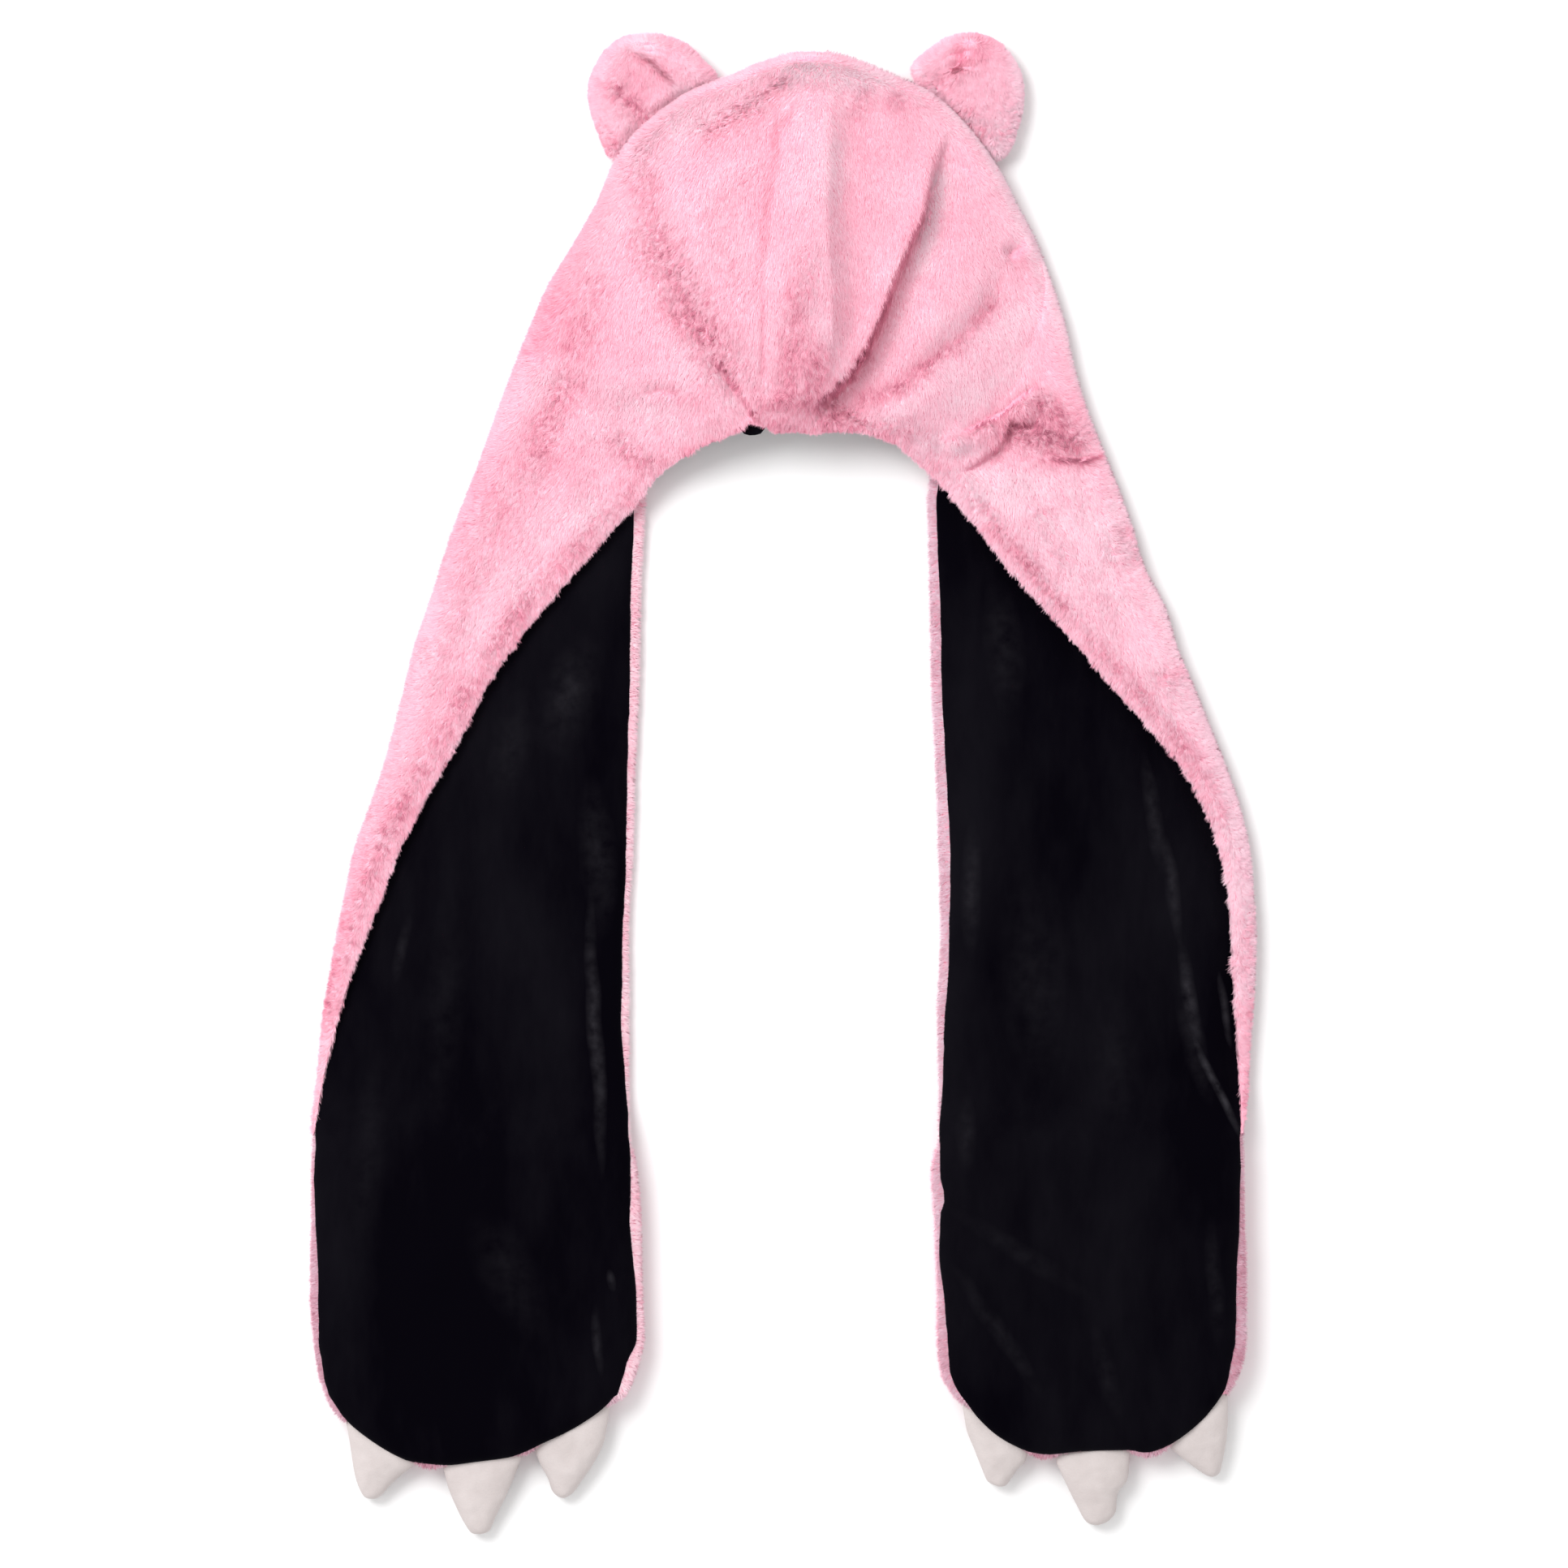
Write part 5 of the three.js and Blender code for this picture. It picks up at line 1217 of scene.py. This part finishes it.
# -------------------------------------------------------------------- ears
ears = {}
for e in EARS:
    k = 60
    g = np.linspace(-1, 1, k)
    U, V = np.meshgrid(g, g, indexing="ij")
    rho = np.maximum(np.abs(U), np.abs(V))
    with np.errstate(divide="ignore", invalid="ignore"):
        th = np.where(np.abs(U) >= np.abs(V), np.where(U == 0, 0, V / U) * math.pi / 4 + np.where(U < 0, math.pi, 0),
                      math.pi / 2 - np.where(V == 0, 0, U / V) * math.pi / 4 + np.where(V < 0, math.pi, 0))
    th = np.mod(th, 2 * math.pi)
    ang = np.radians(np.array(e["angle"], float))
    rad = np.array(e["radius"], float)
    order = np.argsort(ang)
    ang, rad = ang[order], rad[order]
    rr = column(np.concatenate([ang[-3:] - 2 * math.pi, ang, ang[:3] + 2 * math.pi]),
                np.concatenate([rad[-3:], rad, rad[:3]]))
    rho_s = 1 - (1 - rho) ** 1.35
    reach = rr(th) - 1.5
    ex, ey = e["x"] + reach * rho_s * np.cos(th), e["y"] + reach * rho_s * np.sin(th)
    exy = np.dstack([ex, ey])
    rim_e = np.stack([e["x"] + (rr(np.linspace(0, 2 * math.pi, 120)) - 1.5) * np.cos(np.linspace(0, 2 * math.pi, 120)),
                      e["y"] + (rr(np.linspace(0, 2 * math.pi, 120)) - 1.5) * np.sin(np.linspace(0, 2 * math.pi, 120))], -1)
    de = far_from(ex, ey, rim_e, 1)
    d_line, _, s_side = near_path(ex, ey, FOLD_LINE[100:230])
    outside = np.where(s_side > 0, 1.0, -1.0) * d_line
    tuck = ease(outside, -4, 7)
    h = 8.2 * swell(de, 17)
    lumps = 0.5 * noise(ex, ey, 13, 81) + 0.3 * noise(ex, ey, 6, 82)
    tf = np.maximum(tuft_map(ex, ey, e["tufts"]), 0.10 + 0.12 * np.clip(noise(ex, ey, 18, 83) + 0.5, 0, 1))
    lumps = lumps + tf * (0.4 * noise(ex, ey, 6, 84))
    z_mid = 12.0 - 1.2 * (1 - tuck)
    e_top = z_mid + h * (0.25 + 0.75 * tuck) + (fold_height(ex, ey, e["folds"]) + lumps) * np.clip(de / 7, 0, 1) * tuck
    e_under = z_mid - (h + 0.8) * (0.15 + 0.85 * tuck)
    e_top = np.maximum(e_top, e_under + 2)
    ob, P = pillow(f"{e['name']}_pad", exy, e_top, e_under, undercoat)
    ears[e["name"]] = ob
    Ne = grid_normals(P)
    out = outward(ex, ey, rim_e)
    rim_w = np.exp(-((de / 10) ** 2))[..., None]
    from_mid = unit(np.dstack([ex - e["x"], ey - e["y"], np.zeros_like(ex)]))
    close = np.exp(-((de / (10 - 6 * np.clip(out[..., 1], 0, 1))) ** 2))[..., None]
    cmb = 0.25 * from_mid * (1 - close) + 1.4 * close * out + np.array([0, -0.8, 0]) * (1 - close)
    cmb = cmb + np.dstack([0 * ex, 0 * ex, -0.5 * (de < 3)])
    # dark: painted shade in the ear's fold lows, plus the ear's tones of painted shade and light.
    pile.grow(f"{e['name']}_pile", P, Ne, cmb, tf, (0.15 + tuck) * (1 + 0.8 * rim_w[..., 0]), 52000, 5.4, 301 + (e["x"] > 0), lean=78,
              stand=24, width=0.42, size=1.9, dark=fold_shade(ex, ey, e["folds"]) + tone_map(ex, ey, e["tones"]),
              calm=np.clip(0.9 * rim_w[..., 0] + 0.8 * (1 - ease(outside, 0, 12)), 0, 0.95))
    # under side
    Pu = np.dstack([exy, np.minimum(e_under, P[..., 2])])
    pile.grow(f"{e['name']}_pile", Pu, -np.abs(grid_normals(Pu)) * np.array([-1, -1, 1]) * np.sign(grid_normals(Pu)) * np.array([1, 1, 1]),
              cmb, tf * 0.5, (0.05 + tuck) * rim_w[..., 0], 4500, 5.0, 311 + (e["x"] > 0), lean=62, stand=20, width=0.45, size=2.2)

# ------------------------------------------------------------------- claws
claws = []
for ci, c in enumerate(CLAWS):
    pa, _ = along(c["a"])
    pb, _ = along(c["b"])
    t = np.concatenate([[-0.14, -0.07], np.linspace(0, 0.86, 26), 0.86 + 0.14 * np.sin(np.linspace(0, 1, 9)[1:] * math.pi / 2)])
    tc = np.clip(t, 0, 1)
    A, B = pa(tc), pb(tc)
    base = (A[2] + B[2]) / 2
    tip = np.array(c["a"][-1])
    back = unit((base - tip)[None])[0]
    A = A + back * np.clip(-t, 0, 1)[:, None] * 60
    B = B + back * np.clip(-t, 0, 1)[:, None] * 60
    inset = 0.5
    mid = (A + B) / 2
    half_w = np.hypot(*(B - A).T) / 2
    shrink = np.clip(1 - inset / np.maximum(half_w, inset + 0.01), 0.02, 1)[:, None]
    A, B = mid + (A - mid) * shrink, mid + (B - mid) * shrink
    # wavy seam sides
    a = np.linspace(0, math.pi, 29)
    u = (1 - np.cos(a)) / 2
    cxy = A[:, None, :] * (1 - u[None, :, None]) + B[:, None, :] * u[None, :, None]
    plump = column([-0.15, 0, 0.15, 0.4, 0.7, 0.9, 1.0], [5.0, 6.0, 7.6, 8.4, 7.2, 5.2, 2.2])(t)
    plump = np.minimum(plump, 0.9 * half_w + 1.0)
    z_mid = column([-0.15, 0.1, 0.4, 0.7, 0.94, 1.0], [16, 14.4, 11.4, 9.2, 7.2, 6.4])(t)
    prof = np.sin(a)[None, :] ** 0.85
    end = np.sqrt(np.clip(1 - np.clip((t - 0.8) / 0.2, 0, 1) ** 2, 0, 1))[:, None]
    cx_, cy_ = cxy[..., 0], cxy[..., 1]
    dent = 0.5 * noise(cx_, cy_, 11, 91 + ci) + 0.35 * noise(cx_, cy_, 5, 92 + ci)
    z_top = z_mid[:, None] + plump[:, None] * prof * (0.3 + 0.7 * end) + dent * prof * end
    z_bot = np.maximum(z_mid[:, None] - plump[:, None] * prof * (0.3 + 0.7 * end), 0.4)
    ob, P = pillow(f"{c['name']}_stuffed", cxy, z_top, z_bot, nap)
    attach(ob, "root")
    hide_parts(c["name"])
    claws.append(ob)

# ------------------------------------------------------------- strands, pieces and areas
hood_strands = pile.finish("hood_fur_pile")
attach(hood_plush, "root")
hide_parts("hood_fur")
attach(hood_velvet, "root")
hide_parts("hood_lining")
for key in ("left", "right"):
    part = arms[key]
    part["strands"] = (pile.finish(f"arm_fur_{key}_pile", PILE_EDGE if key == "left" else SHADED_PILE_RIM)
                       + pile.finish(f"arm_rim_{key}_pile", SHADED_PILE_RIM))
    part["pocket_strands"] = pile.finish(f"pocket_fur_{key}_pile")
    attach(part["plush"], "root")
    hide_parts(f"arm_fur_{key}")
    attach(part["velvet"], "root")
    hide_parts(f"arm_lining_{key}")
    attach(part["pocket"], "root")
    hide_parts(f"paw_pocket_{key}")
for e in EARS:
    pile.finish(f"{e['name']}_pile")
    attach(ears[e["name"]], "root")
    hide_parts(e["name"])


def flat_area(ob):
    """Half of the surface of a thin closed piece, in square metres."""
    me = ob.data
    a = np.empty(len(me.polygons), np.float32)
    me.polygons.foreach_get("area", a)
    return float(a.sum() / 2)


SHEETS = [
    (hood_plush, (0.579, 0.666), "folded", ["arm_plush_left", "arm_plush_right"], hood_strands),
    (hood_velvet, (0.281, 0.235), "folded", [hood_plush.name], []),
]
for key in ("left", "right"):
    part = arms[key]
    SHEETS += [
        (part["plush"], (0.309, 0.871) if key == "left" else (0.288, 0.865), "laid", [], part["strands"]),
        (part["velvet"], (0.301, 0.839) if key == "left" else (0.280, 0.832), "laid", [part["plush"].name], []),
        (part["pocket"], (0.202, 0.195) if key == "left" else (0.190, 0.189), "laid", [], part["pocket_strands"]),
    ]
for ob, flat, held, on, extra in SHEETS:
    print("AREA", ob.name, round(flat_area(ob), 4), round(flat[0] * flat[1], 4), len(ob.data.polygons))
    area = min(max(flat_area(ob), 0.3 * flat[0] * flat[1]), flat[0] * flat[1])

# ------------------------------------------------------- floor, light, camera
floor_mesh = bpy.data.meshes.new("floor")
floor_mesh.from_pydata([(-6, -6, 0), (6, -6, 0), (6, 6, 0), (-6, 6, 0)], [], [(0, 1, 2, 3)])
floor = bpy.data.objects.new("floor", floor_mesh)
floor_mesh.materials.append(base_material("floor_white", (0.90, 0.90, 0.90), 0.9, specular=0.0))
bpy.context.scene.collection.objects.link(floor)
floor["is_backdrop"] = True

world = bpy.data.worlds.new("studio")
world.use_nodes = True
world.node_tree.nodes["Background"].inputs["Color"].default_value = (1, 1, 1, 1)
world.node_tree.nodes["Background"].inputs["Strength"].default_value = 0.90
bpy.context.scene.world = world


def lamp(name, place, aim, size, power):
    data = bpy.data.lights.new(name, "AREA")
    data.shape = "DISK"
    data.size = size
    data.energy = power
    ob = bpy.data.objects.new(name, data)
    ob.location = place
    v = [a - b for a, b in zip(place, aim)]
    yaw, pitch = math.atan2(v[0], -v[1]), math.atan2(math.hypot(v[0], v[1]), v[2])
    ob.rotation_euler = (pitch, 0, yaw)
    bpy.context.scene.collection.objects.link(ob)
    return ob


lamp("key", (-1.35, 1.15, 2.45), (0, 0, 0), 1.7, 66)

cam_data = bpy.data.cameras.new("camera")
cam_data.sensor_width = 36
cam_data.lens = 36 * (3.6 - 0.012) / 0.966
cam_data.clip_end = 50
cam_data.dof.use_dof = False
camera = bpy.data.objects.new("camera", cam_data)
camera.location = (0, 0, 3.6)
camera.rotation_euler = (0, 0, 0)
bpy.context.scene.collection.objects.link(camera)
bpy.context.scene.camera = camera
bpy.context.scene.view_settings.view_transform = "Standard"
bpy.context.scene.view_settings.look = "None"
bpy.context.scene.view_settings.exposure = 0
bpy.context.scene.view_settings.gamma = 1


most, total = 0, 0
for ob in bpy.data.objects:
    if ob.type == "MESH" and any(m and (m.name.startswith("fur") or m.name in ("velvet", "claw_plush")) for m in ob.data.materials):
        n = len(ob.data.loops) - 2 * len(ob.data.polygons)
        most, total = max(most, n), total + n
print("TRIANGLES most", most, "all", total)


def plain(value):
    if isinstance(value, dict):
        return {k: plain(w) for k, w in value.items()}
    if hasattr(value, "__len__") and not isinstance(value, str):
        return [plain(w) for w in value]
    return float(value) if isinstance(value, (int, float, np.floating)) else value


{"at_load": plain(bounds_at_load), "at_end": plain(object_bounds())}
